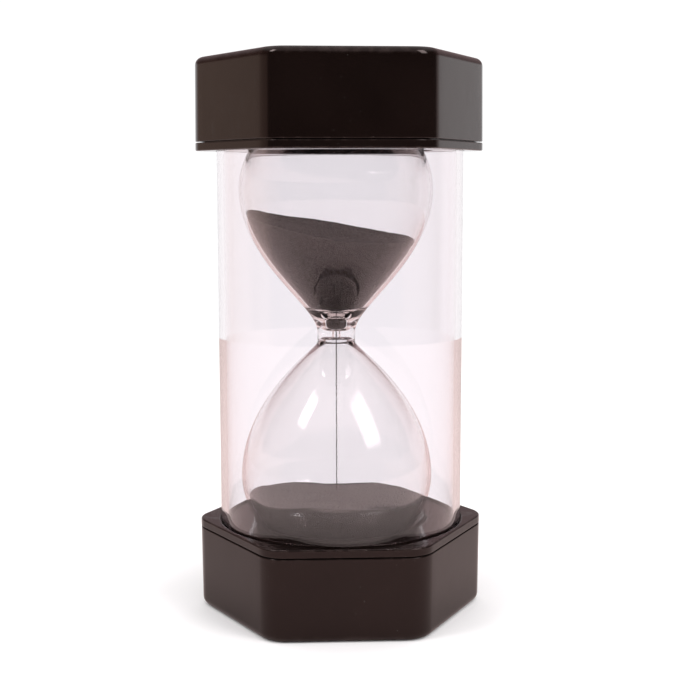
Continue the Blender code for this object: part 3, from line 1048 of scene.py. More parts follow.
@dataclass
class Cap:
    """A hexagonal cap: a moulded shell, the plate that covers it and a foam pad."""

    side: Side
    apothem: float
    height: float
    tube_outer: float
    tube_inner: float
    lobe: Point
    lobe_height: float
    spout_hole: float
    place: Matrix
    corner_radius: float = 0.0088
    end_fillet: float = 0.0023
    side_taper: float = 0.00026
    wall: float = 0.0018
    plate_thickness: float = 0.0023
    plate_edge: float = 0.0004
    seam_gap: float = 0.0003
    rim_edge: float = 0.00025
    spigot_depth: float = 0.0030
    spigot_wall: float = 0.0014
    collar_depth: float = 0.0040
    collar_wall: float = 0.0014
    groove_depth: float = 0.0013
    groove_clearance: float = 0.0004
    seat_clearance: float = 0.0016
    bulb_off_centre: float = 0.0012
    fit: float = 0.0003
    pad_to_collar: float = 0.0010
    support: float = 0.00018
    corner_steps: int = 16
    flat_steps: int = 12
    fillet_steps: int = 9
    edge_steps: int = 5
    round_segments: int = 128

    @property
    def underside(self) -> float:
        """Height of the plate's underside."""
        return self.height - self.plate_thickness

    @property
    def rim(self) -> float:
        """Height of the shell's rim."""
        return self.underside - self.seam_gap

    def taper_at(self, height: float) -> float:
        """How far the sides lean in at a height."""
        return self.side_taper * (self.height - height) / self.height

    def directions(self) -> list[Vector]:
        """The outline's points at the open end.

        Returns:
            One ring of points, which every other ring follows.
        """
        return self.hexagon(0.0)

    def hexagon(self, inset: float) -> list[Vector]:
        """A rounded hexagon with a corner on +X.

        Args:
            inset: How far it lies inside the cap's outline.

        Returns:
            Its points.
        """
        apothem = self.apothem - inset
        radius = max(self.corner_radius - inset, self.plate_edge)
        reach = (apothem - radius) / math.cos(math.pi / 6)
        points: list[Vector] = []
        for side in range(6):
            middle = side * math.pi / 3
            centre = Vector((reach * math.cos(middle), reach * math.sin(middle), 0))
            for step in range(self.corner_steps + 1):
                angle = middle + math.pi / 3 * (step / self.corner_steps - 0.5)
                points.append(centre + radius * Vector((math.cos(angle), math.sin(angle), 0)))
            following = middle + math.pi / 3
            end = Vector((reach * math.cos(following), reach * math.sin(following), 0))
            edge = middle + math.pi / 6
            end += radius * Vector((math.cos(edge), math.sin(edge), 0))
            start = points[-1]
            for step in range(1, self.flat_steps):
                points.append(start.lerp(end, step / self.flat_steps))
        return points

    def points(self, ring: Ring, directions: Sequence[Vector]) -> list[Vector]:
        """The points of one ring.

        Args:
            ring: The ring.
            directions: The ring whose directions a circle follows.

        Returns:
            Its points.
        """
        if ring.outline is Outline.HEXAGON:
            flat = self.hexagon(ring.size)
        else:
            flat = [ring.size * point.normalized() for point in directions]
        return [Vector((point.x, point.y, ring.height)) for point in flat]

    def stack(
        self, rings: Sequence[Ring], closed: bool, finish: bpy.types.Material
    ) -> bpy.types.Mesh:
        """Joins rings one to the next into a closed body, in the cap's place.

        Args:
            rings: The rings, in order.
            closed: Whether the last ring joins the first; otherwise both ends are flat.
            finish: The material.

        Returns:
            The mesh, with how worn each point is as an attribute.
        """
        directions = self.directions()
        bm = bmesh.new()
        layer = bm.verts.layers.float.new("edge_wear")
        loops = []
        for ring in rings:
            loop = [bm.verts.new(point) for point in self.points(ring, directions)]
            for vert in loop:
                vert[layer] = ring.wear
            loops.append(loop)
        pairs = list(zip(loops, loops[1:]))
        if closed:
            pairs.append((loops[-1], loops[0]))
        for lower, upper in pairs:
            for index in range(len(lower)):
                after = (index + 1) % len(lower)
                bm.faces.new((lower[index], lower[after], upper[after], upper[index]))
        if not closed:
            bm.faces.new(loops[0])
            bm.faces.new(loops[-1])
        bmesh.ops.transform(bm, matrix=self.place, verts=bm.verts)
        bmesh.ops.recalc_face_normals(bm, faces=bm.faces)
        mesh = bpy.data.meshes.new(f"{self.side.value}_cap")
        bm.to_mesh(mesh)
        bm.free()
        smoothed(mesh)
        mesh.materials.append(finish)
        return mesh

    def build_shell(self, finish: bpy.types.Material) -> None:
        """The cup: flat end, rounded edge, leaning sides and an open rim.

        Args:
            finish: Its material.
        """
        hexagon = Outline.HEXAGON
        fillet = self.end_fillet
        rings = [Ring(hexagon, fillet + self.support * 4, 0.0)]
        for step in range(self.fillet_steps + 1):
            angle = math.pi / 2 * step / self.fillet_steps
            height = fillet * (1 - math.cos(angle))
            inset = fillet * (1 - math.sin(angle)) + self.taper_at(height)
            rings.append(Ring(hexagon, inset, height, math.sin(2 * angle)))
        foot = fillet + self.support * 4
        rings.append(Ring(hexagon, self.taper_at(foot), foot))
        edge = self.rim_edge
        rings.append(Ring(hexagon, self.taper_at(self.rim), self.rim - edge - self.support))
        for step in range(self.edge_steps + 1):
            angle = math.pi / 2 * step / self.edge_steps
            inset = self.taper_at(self.rim) + edge * (1 - math.cos(angle))
            rings.append(Ring(hexagon, inset, self.rim - edge * (1 - math.sin(angle)), 0.8))
        floor_edge = max(fillet - self.wall, self.plate_edge)
        inner = self.wall + floor_edge
        rings += [
            Ring(hexagon, self.taper_at(self.rim) + self.wall - edge, self.rim),
            Ring(hexagon, self.taper_at(self.rim) + self.wall, self.rim - edge),
            Ring(hexagon, self.taper_at(inner) + self.wall, inner),
            Ring(hexagon, self.taper_at(0) + self.wall + floor_edge, self.wall),
        ]
        mesh = self.stack(rings, False, finish)
        name = f"{self.side.value}_cap_shell"
        finished(name, mesh, [f"{self.side.value}_shell"])

    def seat_radius(self, height: float, clearance: float) -> float:
        """Radius of the bulb's end at a height, with clearance round it.

        Args:
            height: The height, in the cap's frame.
            clearance: How far to stay off the glass.

        Returns:
            The radius.
        """
        rise = (height - self.lobe_height) / (self.lobe[1] + clearance)
        return (self.lobe[0] + clearance) * math.sqrt(max(1 - rise * rise, 0.0))

    def build_plate(self, finish: bpy.types.Material) -> None:
        """The cover: rounded rim, spigot, collar and seat for the bulb, and tube groove.

        Args:
            finish: Its material.
        """
        hexagon, circle = Outline.HEXAGON, Outline.CIRCLE
        edge, top = self.plate_edge, self.height
        spigot = self.taper_at(self.rim) + self.wall + self.fit
        foot = self.underside - self.spigot_depth
        collar_foot = self.underside - self.collar_depth
        rings = [Ring(hexagon, edge + self.support * 2, top)]
        for step in range(self.edge_steps + 1):
            angle = math.pi / 2 * step / self.edge_steps
            inset = edge * (1 - math.sin(angle))
            rings.append(Ring(hexagon, inset, top - edge * (1 - math.cos(angle)), 1.0))
        rings.append(Ring(hexagon, 0.0, top - edge - self.support))
        lower = edge * 0.6
        rings.append(Ring(hexagon, 0.0, self.underside + lower + self.support))
        for step in range(self.edge_steps + 1):
            angle = math.pi / 2 * step / self.edge_steps
            inset = lower * (1 - math.cos(angle))
            rings.append(Ring(hexagon, inset, self.underside + lower * (1 - math.sin(angle)), 0.6))
        rings += [
            Ring(hexagon, spigot, self.underside),
            Ring(hexagon, spigot, foot),
            Ring(hexagon, spigot + self.spigot_wall, foot),
            Ring(hexagon, spigot + self.spigot_wall, self.underside),
        ]
        clearance = self.seat_clearance
        outer_collar = self.seat_radius(self.underside, clearance) + self.collar_wall
        rings.append(Ring(circle, outer_collar, self.underside))
        inner_foot = self.seat_radius(collar_foot, clearance)
        rings.append(Ring(circle, inner_foot + self.collar_wall, collar_foot))
        seat_steps = 8
        lip = edge * 0.8
        for step in range(seat_steps + 1):
            height = collar_foot + (top - lip - collar_foot) * step / seat_steps
            rings.append(Ring(circle, self.seat_radius(height, clearance), height))
        mouth = self.seat_radius(top - lip, clearance)
        for point in arc((mouth + lip, top - lip), (lip, lip), math.pi, math.pi / 2, 4)[1:]:
            rings.append(Ring(circle, point[0], point[1], 0.5))
        rings.append(Ring(circle, mouth + lip + self.support * 2, top))
        rings += self.groove_rings(top, self.groove_clearance)
        mesh = self.stack(rings, True, finish)
        name = f"{self.side.value}_cap_plate"
        finished(name, mesh, [f"{self.side.value}_plate"])

    def groove_rings(self, top: float, clearance: float) -> list[Ring]:
        """The groove that the tube stands in, with rounded lips.

        Args:
            top: Height of the plate's face.
            clearance: The gap beside the tube.

        Returns:
            The rings, from the inner lip to the outer one.
        """
        circle = Outline.CIRCLE
        inner = self.tube_inner - clearance
        outer = self.tube_outer + clearance
        lip = 0.00025
        floor = top - self.groove_depth
        rings = [Ring(circle, inner - lip - self.support, top)]
        for point in arc((inner - lip, top - lip), (lip, lip), math.pi / 2, 0, 4):
            rings.append(Ring(circle, point[0], point[1], 0.6))
        rings += [Ring(circle, inner, floor), Ring(circle, outer, floor)]
        for point in arc((outer + lip, top - lip), (lip, lip), math.pi, math.pi / 2, 4):
            rings.append(Ring(circle, point[0], point[1], 0.6))
        rings.append(Ring(circle, outer + lip + self.support, top))
        return rings

    def build_pad(self, workshop: Workshop, finish: bpy.types.Material) -> None:
        """The foam pad under the bulb's end, dished by it, with uneven sides that bow in.

        Args:
            workshop: The Geometry Nodes trees.
            finish: Its material.
        """
        foot = self.wall + self.fit
        edge = self.underside - self.collar_depth - self.pad_to_collar
        edge_radius = self.seat_radius(edge, self.fit)
        steps = 14
        dish = []
        for step in range(steps + 1):
            radius = self.spout_hole + (edge_radius - self.spout_hole) * step / steps
            share = radius / (self.lobe[0] + self.fit)
            drop = (self.lobe[1] + self.fit) * math.sqrt(1 - share * share)
            dish.append((radius, self.lobe_height - drop))
        pull = 0.0006
        side_wall = []
        for step in range(1, steps):
            share = step / steps
            radius = edge_radius - pull * math.sin(math.pi * share)
            side_wall.append((radius, edge + (foot - edge) * share))
        base = [
            (edge_radius + (self.spout_hole - edge_radius) * step / steps, foot)
            for step in range(steps + 1)
        ]
        profile = dish + side_wall + base
        has_hole = self.spout_hole > 0
        if has_hole:
            hole_top = dish[0][1]
            profile += [
                (self.spout_hole, foot + (hole_top - foot) * step / 4) for step in range(1, 4)
            ]
        mesh = workshop.turn(profile, finish, self.round_segments, closed=has_hole)
        for vert in mesh.vertices:
            radial = Vector((vert.co.x, vert.co.y, 0))
            if radial.length > edge_radius * 0.85 and foot < vert.co.z < edge:
                bump = noise.noise(vert.co * 320.0) * 0.5 + noise.noise(vert.co * 900.0) * 0.5
                vert.co -= radial.normalized() * 0.00025 * (bump + 1)
        mesh.transform(self.place @ Matrix.Translation((-self.bulb_off_centre, 0.0, 0.0)))
        outward(mesh)
        piece = finished(
            f"{self.side.value}_foam_pad", mesh, [f"{self.side.value}_cushion"]
        )


# ---- Tube ----


@dataclass
class Tube:
    """The clear tube that stands in the grooves of both plates."""

    inner: float
    outer: float
    foot: float
    head: float
    edge: float = 0.0003
    segments: int = 192

    def build(self, workshop: Workshop, finish: bpy.types.Material) -> None:
        """Turns the tube with softened ends.

        Args:
            workshop: The Geometry Nodes trees.
            finish: Its material.
        """
        middle, half = (self.foot + self.head) / 2, (self.head - self.foot) / 2
        lip = (self.edge, self.edge)
        top, inner, outer = half - self.edge, self.inner + self.edge, self.outer - self.edge
        side = [self.edge * step - half for step in (4.0, 2.0, 1.3)]
        heights = sorted({*side, *(-height for height in side), 0.0, half / 2, -half / 2})
        profile = [(self.inner, height) for height in heights]
        profile += arc((inner, top), lip, math.pi, math.pi / 2, 5)
        profile += arc((outer, top), lip, math.pi / 2, 0, 5)
        profile += [(self.outer, height) for height in reversed(heights)]
        profile += arc((outer, -top), lip, 0, -math.pi / 2, 5)
        profile += arc((inner, -top), lip, -math.pi / 2, -math.pi, 5)
        profile = [(radius, middle + height) for radius, height in profile]
        mesh = workshop.turn(profile, finish, self.segments, closed=True)
        finished("outer_tube", mesh, ["clear_tube"])


# ---- Bulb ----


@dataclass(frozen=True)
class LobeShape:
    """How one lobe leaves the neck, outside and inside."""

    neck_length: float
    neck_handle: float
    lobe_handle: float
    cup_depth: float
    cup_rise: float
    even_from: float


@dataclass
class Bulb:
    """The blown vessel: two lobes joined by a thick neck with a fine throat."""

    middle: float
    half: float
    radius: float
    place: Matrix
    spout_radius: float = 0.0048
    spout_wall: float = 0.0014
    spout_height: float = 0.0022
    wall: float = 0.0009
    widest_share: float = 0.627
    neck_radius: float = 0.0055
    upper: LobeShape = LobeShape(0.0005, 0.0075, 0.0204, 0.0026, 0.0028, 0.0078)
    lower: LobeShape = LobeShape(0.0025, 0.0016, 0.0222, 0.0010, 0.0008, 0.0065)
    throat_radius: float = 0.0008
    throat_length: float = 0.0020
    cup_radius: float = 0.0032
    cup_floor_handle: float = 0.0020
    funnel_handle: float = 0.0024
    side_steps: int = 64
    funnel_steps: int = 24
    end_steps: int = 28
    segments: int = 144

    @property
    def lobe_offset(self) -> float:
        """From the neck to where a lobe is widest."""
        return self.half * self.widest_share

    @property
    def lobe_end(self) -> float:
        """From where a lobe is widest to its end."""
        return self.half - self.lobe_offset

    def outer_side(self, shape: LobeShape) -> list[Point]:
        """The outer wall of a lobe, from the neck to its widest.

        Args:
            shape: Which lobe.

        Returns:
            Points as (radius, distance from the neck's middle).
        """
        return smooth_curve(
            (self.neck_radius, shape.neck_length),
            (self.radius, self.lobe_offset),
            (0.0, shape.neck_handle),
            (0.0, shape.lobe_handle),
            self.side_steps,
        )

    def outer_half(self, shape: LobeShape, opening: float) -> list[Point]:
        """The outer wall of a lobe, from the neck to the opening in its end.

        Args:
            shape: Which lobe.
            opening: Radius of the opening.

        Returns:
            Points as (radius, distance from the neck's middle).
        """
        last = math.acos(opening / self.radius)
        axes = (self.radius, self.lobe_end)
        end = arc((0, self.lobe_offset), axes, 0, last, self.end_steps)
        return self.outer_side(shape) + end[1:]

    def inner_half(self, shape: LobeShape, opening: float) -> list[Point]:
        """The inner wall of a lobe: a small cup at the throat, a funnel, then an even wall.

        Args:
            shape: Which lobe.
            opening: Radius of the opening in its end.

        Returns:
            Points as (radius, distance from the neck's middle).
        """
        even = moved_in(self.outer_side(shape), self.wall)[:-1]
        even = [point for point in even if point[1] > shape.even_from]
        rise = (Vector(even[1]) - Vector(even[0])).normalized() * self.funnel_handle
        rim = (self.cup_radius, self.throat_length / 2 + shape.cup_depth)
        cup = smooth_curve(
            (self.throat_radius, self.throat_length / 2),
            rim,
            (self.cup_floor_handle, 0.0),
            (0.0, shape.cup_depth / 2),
            self.funnel_steps,
        )
        arrive = (rise.x, rise.y)
        funnel = smooth_curve(rim, even[0], (0.0, shape.cup_rise), arrive, self.funnel_steps)
        axes = (self.radius - self.wall, self.lobe_end - self.wall)
        last = math.acos(opening / axes[0])
        end = arc((0, self.lobe_offset), axes, 0, last, self.end_steps)
        return cup + funnel[1:] + even[1:] + end

    def placed(self, half: Sequence[Point], direction: int) -> list[Point]:
        """A half outline at its height, up (1) or down (-1) from the neck."""
        return [(radius, self.middle + direction * along) for radius, along in half]

    def build(self, workshop: Workshop, finish: bpy.types.Material) -> None:
        """Turns the vessel as one wall, closed below and open at its spout.

        Args:
            workshop: The Geometry Nodes trees.
            finish: Its material.
        """
        bore = self.spout_radius - self.spout_wall
        top = self.middle + self.half + self.spout_height
        lip = (self.spout_wall / 2, self.spout_wall / 2)
        crown = arc((bore + lip[0], top - lip[1]), lip, math.pi, 0, 8)
        inside = self.placed(self.inner_half(self.lower, 0.0), -1)[::-1]
        inside += self.placed(self.inner_half(self.upper, bore), 1)
        outside = self.placed(self.outer_half(self.upper, self.spout_radius), 1)[::-1]
        outside += self.placed(self.outer_half(self.lower, 0.0), -1)
        profile = inside + crown + outside
        profile[0] = (0.0, profile[0][1])
        profile[-1] = (0.0, profile[-1][1])
        mesh = workshop.turn(profile, finish, self.segments)
        mesh.transform(self.place)
        finished("blown_bulb", mesh, ["glass_bulb"])

    def build_stopper(self, workshop: Workshop, finish: bpy.types.Material) -> None:
        """The plug in the filling spout, with a rounded head.

        Args:
            workshop: The Geometry Nodes trees.
            finish: Its material.
        """
        low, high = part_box("bulb_stopper")
        clearance = corner = 0.0003
        taper = 0.0004
        steps = 5
        rim = self.middle + self.half + self.spout_height + clearance
        plug = self.spout_radius - self.spout_wall - clearance
        round_off = (corner, corner)
        head = arc((self.spout_radius - corner, high.z - corner), round_off, math.pi / 2, 0, steps)
        tip = arc((plug - taper - corner, low.z + corner), round_off, 0, -math.pi / 2, steps)
        profile = [(0.0, high.z), *head, (self.spout_radius, rim), (plug, rim), *tip, (0.0, low.z)]
        mesh = workshop.turn(profile, finish, 64)
        mesh.transform(self.place)
        finished("rubber_stopper", mesh, ["bulb_stopper"])


# ---- Sand ----


@dataclass
class Heap:
    """Sand that fills one end of a lobe up to an uneven surface."""

    name: str
    node: str
    bulb: Bulb
    direction: int
    level: Callable[[float, float], float]
    clearance: float = 0.0003
    segments: int = 160
    wall_steps: int = 44
    surface_steps: int = 22
    grain_size: float = 0.00034
    grains_per_area: float = 3.2e6
    seed: int = 3

    def wall(self) -> list[Point]:
        """The wall that the sand lies against, from its lowest point up.

        Returns:
            Points as (radius, height).
        """
        shape = self.bulb.upper if self.direction > 0 else self.bulb.lower
        half = moved_in(self.bulb.inner_half(shape, 0.0), self.clearance)
        points = self.bulb.placed(half, self.direction)
        if self.direction > 0:
            return [(0.0, points[0][1]), *points]
        return [(0.0, points[-1][1]), *points[::-1][1:]]

    def shore(self, angle: float, wall: Sequence[Point]) -> float:
        """Where the surface meets the wall, as a place along the wall.

        Args:
            angle: The direction from the axis.
            wall: The wall's points.

        Returns:
            The place, counted in points.
        """
        before = 0.0
        for index, (radius, height) in enumerate(wall):
            gap = self.level(radius * math.cos(angle), radius * math.sin(angle)) - height
            if gap <= 0:
                return index - 1 + before / (before - gap)
            before = gap
        return float(len(wall) - 1)

    def build(self, workshop: Workshop, finish: bpy.types.Material) -> None:
        """Fills the lobe ring by ring, and strews loose grains on the surface.

        Args:
            workshop: The Geometry Nodes trees.
            finish: Its material.
        """
        wall = self.wall()
        places = np.arange(len(wall), dtype=float)
        radii = np.array([point[0] for point in wall])
        heights = np.array([point[1] for point in wall])
        bm = bmesh.new()
        layer = bm.verts.layers.float.new("strewn")
        angles = [math.tau * step / self.segments for step in range(self.segments)]
        shores = [self.shore(angle, wall) for angle in angles]
        bottom = bm.verts.new((0.0, 0.0, heights[0]))
        loops: list[list[bmesh.types.BMVert]] = []
        for step in range(1, self.wall_steps + 1):
            share = (step / self.wall_steps) ** 0.8
            loop = []
            for angle, shore in zip(angles, shores):
                radius = float(np.interp(shore * share, places, radii))
                height = float(np.interp(shore * share, places, heights))
                across = (radius * math.cos(angle), radius * math.sin(angle))
                loop.append(bm.verts.new((*across, height)))
            loops.append(loop)
        edge = loops[-1]
        for step in range(1, self.surface_steps):
            share = 1 - step / self.surface_steps
            loop = []
            for angle, start in zip(angles, edge):
                x, y = start.co.x * share, start.co.y * share
                vert = bm.verts.new((x, y, self.level(x, y)))
                vert[layer] = 1.0
                loop.append(vert)
            loops.append(loop)
        for vert in edge:
            vert[layer] = 0.6
        centre = bm.verts.new((0.0, 0.0, self.level(0.0, 0.0)))
        centre[layer] = 1.0
        for lower, upper in zip(loops, loops[1:]):
            for index in range(self.segments):
                after = (index + 1) % self.segments
                bm.faces.new((lower[index], lower[after], upper[after], upper[index]))
        for index in range(self.segments):
            after = (index + 1) % self.segments
            bm.faces.new((bottom, loops[0][after], loops[0][index]))
            bm.faces.new((centre, loops[-1][index], loops[-1][after]))
        bmesh.ops.recalc_face_normals(bm, faces=bm.faces)
        mesh = bpy.data.meshes.new(self.name)
        bm.to_mesh(mesh)
        bm.free()
        smoothed(mesh)
        mesh.materials.append(finish)
        values = {
            "Grains per area": self.grains_per_area,
            "Grain size": self.grain_size,
            "Seed": self.seed,
            "Finish": finish,
        }
        made = through_nodes(mesh, workshop.strewer, values)
        made.transform(self.bulb.place)
        finished(self.name, made, [self.node])


@dataclass(frozen=True)
class Surface:
    """The height of a sand surface: a leaning plane with swells and a mound."""

    level: float
    fall: float
    front: float
    swell: float
    swell_length: float
    turn: float
    mound: float = 0.0
    mound_radius: float = 0.004
    dish: float = 0.0
    dish_radius: float = 0.025

    def __call__(self, x: float, y: float) -> float:
        """The height at a point.

        Args:
            x: Its distance to the right of the axis.
            y: Its distance behind the axis.

        Returns:
            The height.
        """
        height = self.level - math.tan(self.fall) * x + math.tan(self.front) * y
        along = x * math.cos(self.turn) + y * math.sin(self.turn)
        across = y * math.cos(self.turn) - x * math.sin(self.turn)
        wave = math.sin(math.tau * along / self.swell_length + 0.6)
        wave += 0.35 * math.sin(math.tau * across / (self.swell_length * 0.6) + 2.1)
        height += self.swell * wave
        height += self.dish * (x * x - y * y) / self.dish_radius**2
        height += self.mound * math.exp(-(x * x + y * y) / self.mound_radius**2)
        rough = noise.noise(Vector((x, y, 0.0)) * 700.0) * 0.6
        rough += noise.noise(Vector((x, y, 0.01)) * 260.0)
        return height + rough * 0.00012


@dataclass
class Stream:
    """The thread of falling sand, from the throat to the heap below."""

    head: float
    foot: float
    place: Matrix
    grain_size: float = 0.00030
    spread: float = 0.00013
    grains: int = 620
    seed: int = 8

    def build(self, workshop: Workshop, finish: bpy.types.Material) -> None:
        """Lets the grains fall, further apart the further they have fallen.

        Args:
            workshop: The Geometry Nodes trees.
            finish: Its material.
        """
        line = bpy.data.meshes.new("line")
        fall = self.head - self.foot
        points = [
            (0.0, 0.0, self.head - fall * (step / (self.grains - 1)) ** 1.15)
            for step in range(self.grains)
        ]
        line.from_pydata(points, [], [])
        values = {
            "Grain size": self.grain_size,
            "Spread": self.spread,
            "Seed": self.seed,
            "Finish": finish,
        }
        mesh = through_nodes(line, workshop.thread, values)
        mesh.transform(self.place)
        outward(mesh)
        mesh.shade_smooth()
        finished("falling_sand", mesh, ["sand_stream"])


# ---- Studio ----


@dataclass(frozen=True)
class Softbox:
    """A soft lamp that faces the timer from a direction."""

    name: str
    azimuth: float
    elevation: float
    distance: float
    width: float
    height: float
    power: float
    tint: Colour = (1.0, 1.0, 1.0)


@dataclass
class Studio:
    """The pale floor, the soft light round it and the camera.

    The floor and the room have separate colours for a straight view, for the view through
    glass and for reflections, so the studio stays plain while the plastic mirrors a dim room.
    """

    floor_radius: float = 0.65
    floor_roughness: float = 0.75
    floor_colour: Colour = (0.92, 0.895, 0.90)
    mirrored_floor: Colour = (0.62, 0.50, 0.48)
    beyond: Colour = (1.045, 1.065, 1.087)
    ambient: float = 1.20
    backdrop: float = 1.05
    upward: Colour = (0.36, 0.27, 0.27)
    ceiling: Colour = (0.75, 0.72, 0.72)
    wall_rise: Point = (0.11, 0.23)
    ceiling_rise: Point = (0.5, 0.9)
    lamp_fade: float = 0.2
    camera_place: Place = (-0.01657, -0.37385, 0.12610)
    heading: float = 0.0440
    pitch: float = 0.1257
    roll: float = -0.0023
    lens: float = 68.02
    sensor: float = 36.0
    aim: float = 0.080
    room: tuple[tuple[float, Colour], ...] = (
        (-180, (1.02, 1.0, 1.02)),
        (-142, (0.99, 0.97, 0.98)),
        (-124, (0.62, 0.46, 0.38)),
        (-76, (0.52, 0.38, 0.32)),
        (-66, (0.05, 0.042, 0.042)),
        (100, (0.05, 0.042, 0.042)),
        (112, (0.62, 0.54, 0.53)),
        (140, (0.99, 0.97, 0.98)),
        (180, (1.02, 1.0, 1.02)),
    )
    lamps: tuple[Softbox, ...] = (
        Softbox("left_softbox", -62, 48, 1.1, 0.30, 0.50, 4.2),
        Softbox("right_softbox", 50, 42, 1.1, 0.52, 0.84, 8.0),
    )

    def build(self) -> None:
        """Sets up everything round the timer."""
        self.build_floor()
        self.build_world()
        for lamp in self.lamps:
            self.build_lamp(lamp)
        self.build_camera()
        bpy.context.scene.view_settings.view_transform = "Standard"
        bpy.context.scene.cycles.max_bounces = 24
        bpy.context.scene.cycles.transmission_bounces = 20
        bpy.context.scene.cycles.transparent_max_bounces = 24

    def build_floor(self) -> None:
        """A wide round floor in a pale finish, which looks even through the glass."""
        bm = bmesh.new()
        bmesh.ops.create_circle(bm, cap_ends=True, segments=96, radius=self.floor_radius)
        mesh = bpy.data.meshes.new("studio_floor")
        bm.to_mesh(mesh)
        bm.free()
        material = bpy.data.materials.new("pale_floor")
        material.use_nodes = True
        shader = material.node_tree.nodes["Principled BSDF"]
        wiring = Wiring(material.node_tree)
        path = wiring.add("ShaderNodeLightPath")
        mirrored = wiring.math("MINIMUM", path.outputs["Glossy Depth"], 1.0)
        shade = wiring.mixed(mirrored, (*self.floor_colour, 1.0), (*self.mirrored_floor, 1.0))
        wiring.feed(shader.inputs["Base Color"], shade)
        shader.inputs["Roughness"].default_value = self.floor_roughness
        through = wiring.math(
            "MULTIPLY",
            path.outputs["Is Transmission Ray"],
            wiring.math("SUBTRACT", 1.0, mirrored),
        )
        even = wiring.add("ShaderNodeEmission", {"Color": (*self.beyond, 1.0)})
        mix = wiring.add(
            "ShaderNodeMixShader",
            {0: through, 1: shader.outputs["BSDF"], 2: even.outputs["Emission"]},
        )
        surface = material.node_tree.nodes["Material Output"].inputs["Surface"]
        wiring.feed(surface, mix.outputs["Shader"])
        mesh.materials.append(material)
        floor = bpy.data.objects.new("studio_floor", mesh)
        bpy.context.scene.collection.objects.link(floor)
        floor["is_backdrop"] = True

    def build_world(self) -> None:
        """A white room behind, and for reflections a dim one in front and at the left."""
        world = bpy.data.worlds.new("studio")
        bpy.context.scene.world = world
        world.use_nodes = True
        wiring = Wiring(world.node_tree)
        way = wiring.add("ShaderNodeTexCoord").outputs["Generated"]
        parts = wiring.add("ShaderNodeSeparateXYZ", {0: way})
        azimuth = wiring.math(
            "ARCTAN2", parts.outputs["X"], wiring.math("MULTIPLY", parts.outputs["Y"], -1.0)
        )
        share = wiring.math("MULTIPLY_ADD", azimuth, 1.0 / math.tau, 0.5)
        ramp = wiring.add("ShaderNodeValToRGB", {0: share})
        elements = ramp.color_ramp.elements
        while len(elements) < len(self.room):
            elements.new(0.5)
        for element, (degrees, colour) in zip(elements, self.room):
            element.position = degrees / 360 + 0.5
            element.color = (*colour, 1.0)
        low = ramp.outputs["Color"]
        shade = wiring.add("ShaderNodeMix", data_type="RGBA", blend_type="MULTIPLY")
        for socket, value in zip(
            [socket for socket in shade.inputs if socket.enabled], (1.0, low, (*self.upward, 1.0))
        ):
            wiring.feed(socket, value)
        high = next(socket for socket in shade.outputs if socket.enabled)
        walls = wiring.mixed(wiring.spread(parts.outputs["Z"], *self.wall_rise), low, high)
        above = wiring.spread(parts.outputs["Z"], *self.ceiling_rise)
        room = wiring.mixed(above, walls, (*self.ceiling, 1.0))
        path = wiring.add("ShaderNodeLightPath")
        mirrored = wiring.math("MINIMUM", path.outputs["Glossy Depth"], 1.0)
        clear = wiring.mixed(mirrored, (*self.beyond, 1.0), room)
        even = wiring.mixed(path.outputs["Is Diffuse Ray"], clear, (*(self.ambient,) * 3, 1.0))
        seen = wiring.mixed(path.outputs["Is Camera Ray"], even, (*(self.backdrop,) * 3, 1.0))
        background = world.node_tree.nodes["Background"]
        wiring.feed(background.inputs["Color"], seen)

    def build_lamp(self, lamp: Softbox) -> None:
        """Hangs one softbox, facing the timer's middle.

        Args:
            lamp: What to hang.
        """
        azimuth, elevation = math.radians(lamp.azimuth), math.radians(lamp.elevation)
        flat = lamp.distance * math.cos(elevation)
        place = Vector(
            (
                flat * math.sin(azimuth),
                -flat * math.cos(azimuth),
                self.aim + lamp.distance * math.sin(elevation),
            )
        )
        data = bpy.data.lights.new(lamp.name, "AREA")
        data.shape = "RECTANGLE"
        data.size = lamp.width
        data.size_y = lamp.height
        data.energy = lamp.power
        data.color = lamp.tint
        data.use_nodes = True
        wiring = Wiring(data.node_tree)
        across = wiring.add("ShaderNodeNewGeometry").outputs["Parametric"]
        parts = wiring.add("ShaderNodeSeparateXYZ", {0: across})
        fades = []
        for share in (parts.outputs["X"], parts.outputs["Y"]):
            from_edge = wiring.math("MULTIPLY", share, wiring.math("SUBTRACT", 1.0, share))
            fades.append(wiring.spread(from_edge, 0.0, self.lamp_fade))
        emission = data.node_tree.nodes["Emission"]
        wiring.feed(emission.inputs["Strength"], wiring.math("MULTIPLY", *fades))
        light = bpy.data.objects.new(lamp.name, data)
        light.location = place
        facing = Vector((0.0, 0.0, self.aim)) - place
        light.rotation_euler = facing.to_track_quat("-Z", "Y").to_euler()
        bpy.context.scene.collection.objects.link(light)

    def build_camera(self) -> None:
        """The camera, a little above the bulb's neck and looking slightly down."""
        data = bpy.data.cameras.new("camera")
        data.lens = self.lens
        data.sensor_width = self.sensor
        data.clip_start = 0.01
        camera = bpy.data.objects.new("camera", data)
        turn = Matrix.Rotation(-self.heading, 4, "Z")
        turn @= Matrix.Rotation(math.pi / 2 - self.pitch, 4, "X")
        turn @= Matrix.Rotation(self.roll, 4, "Z")
        camera.matrix_world = Matrix.Translation(self.camera_place) @ turn
        bpy.context.scene.collection.objects.link(camera)
        bpy.context.scene.camera = camera


# ---- The timer ----


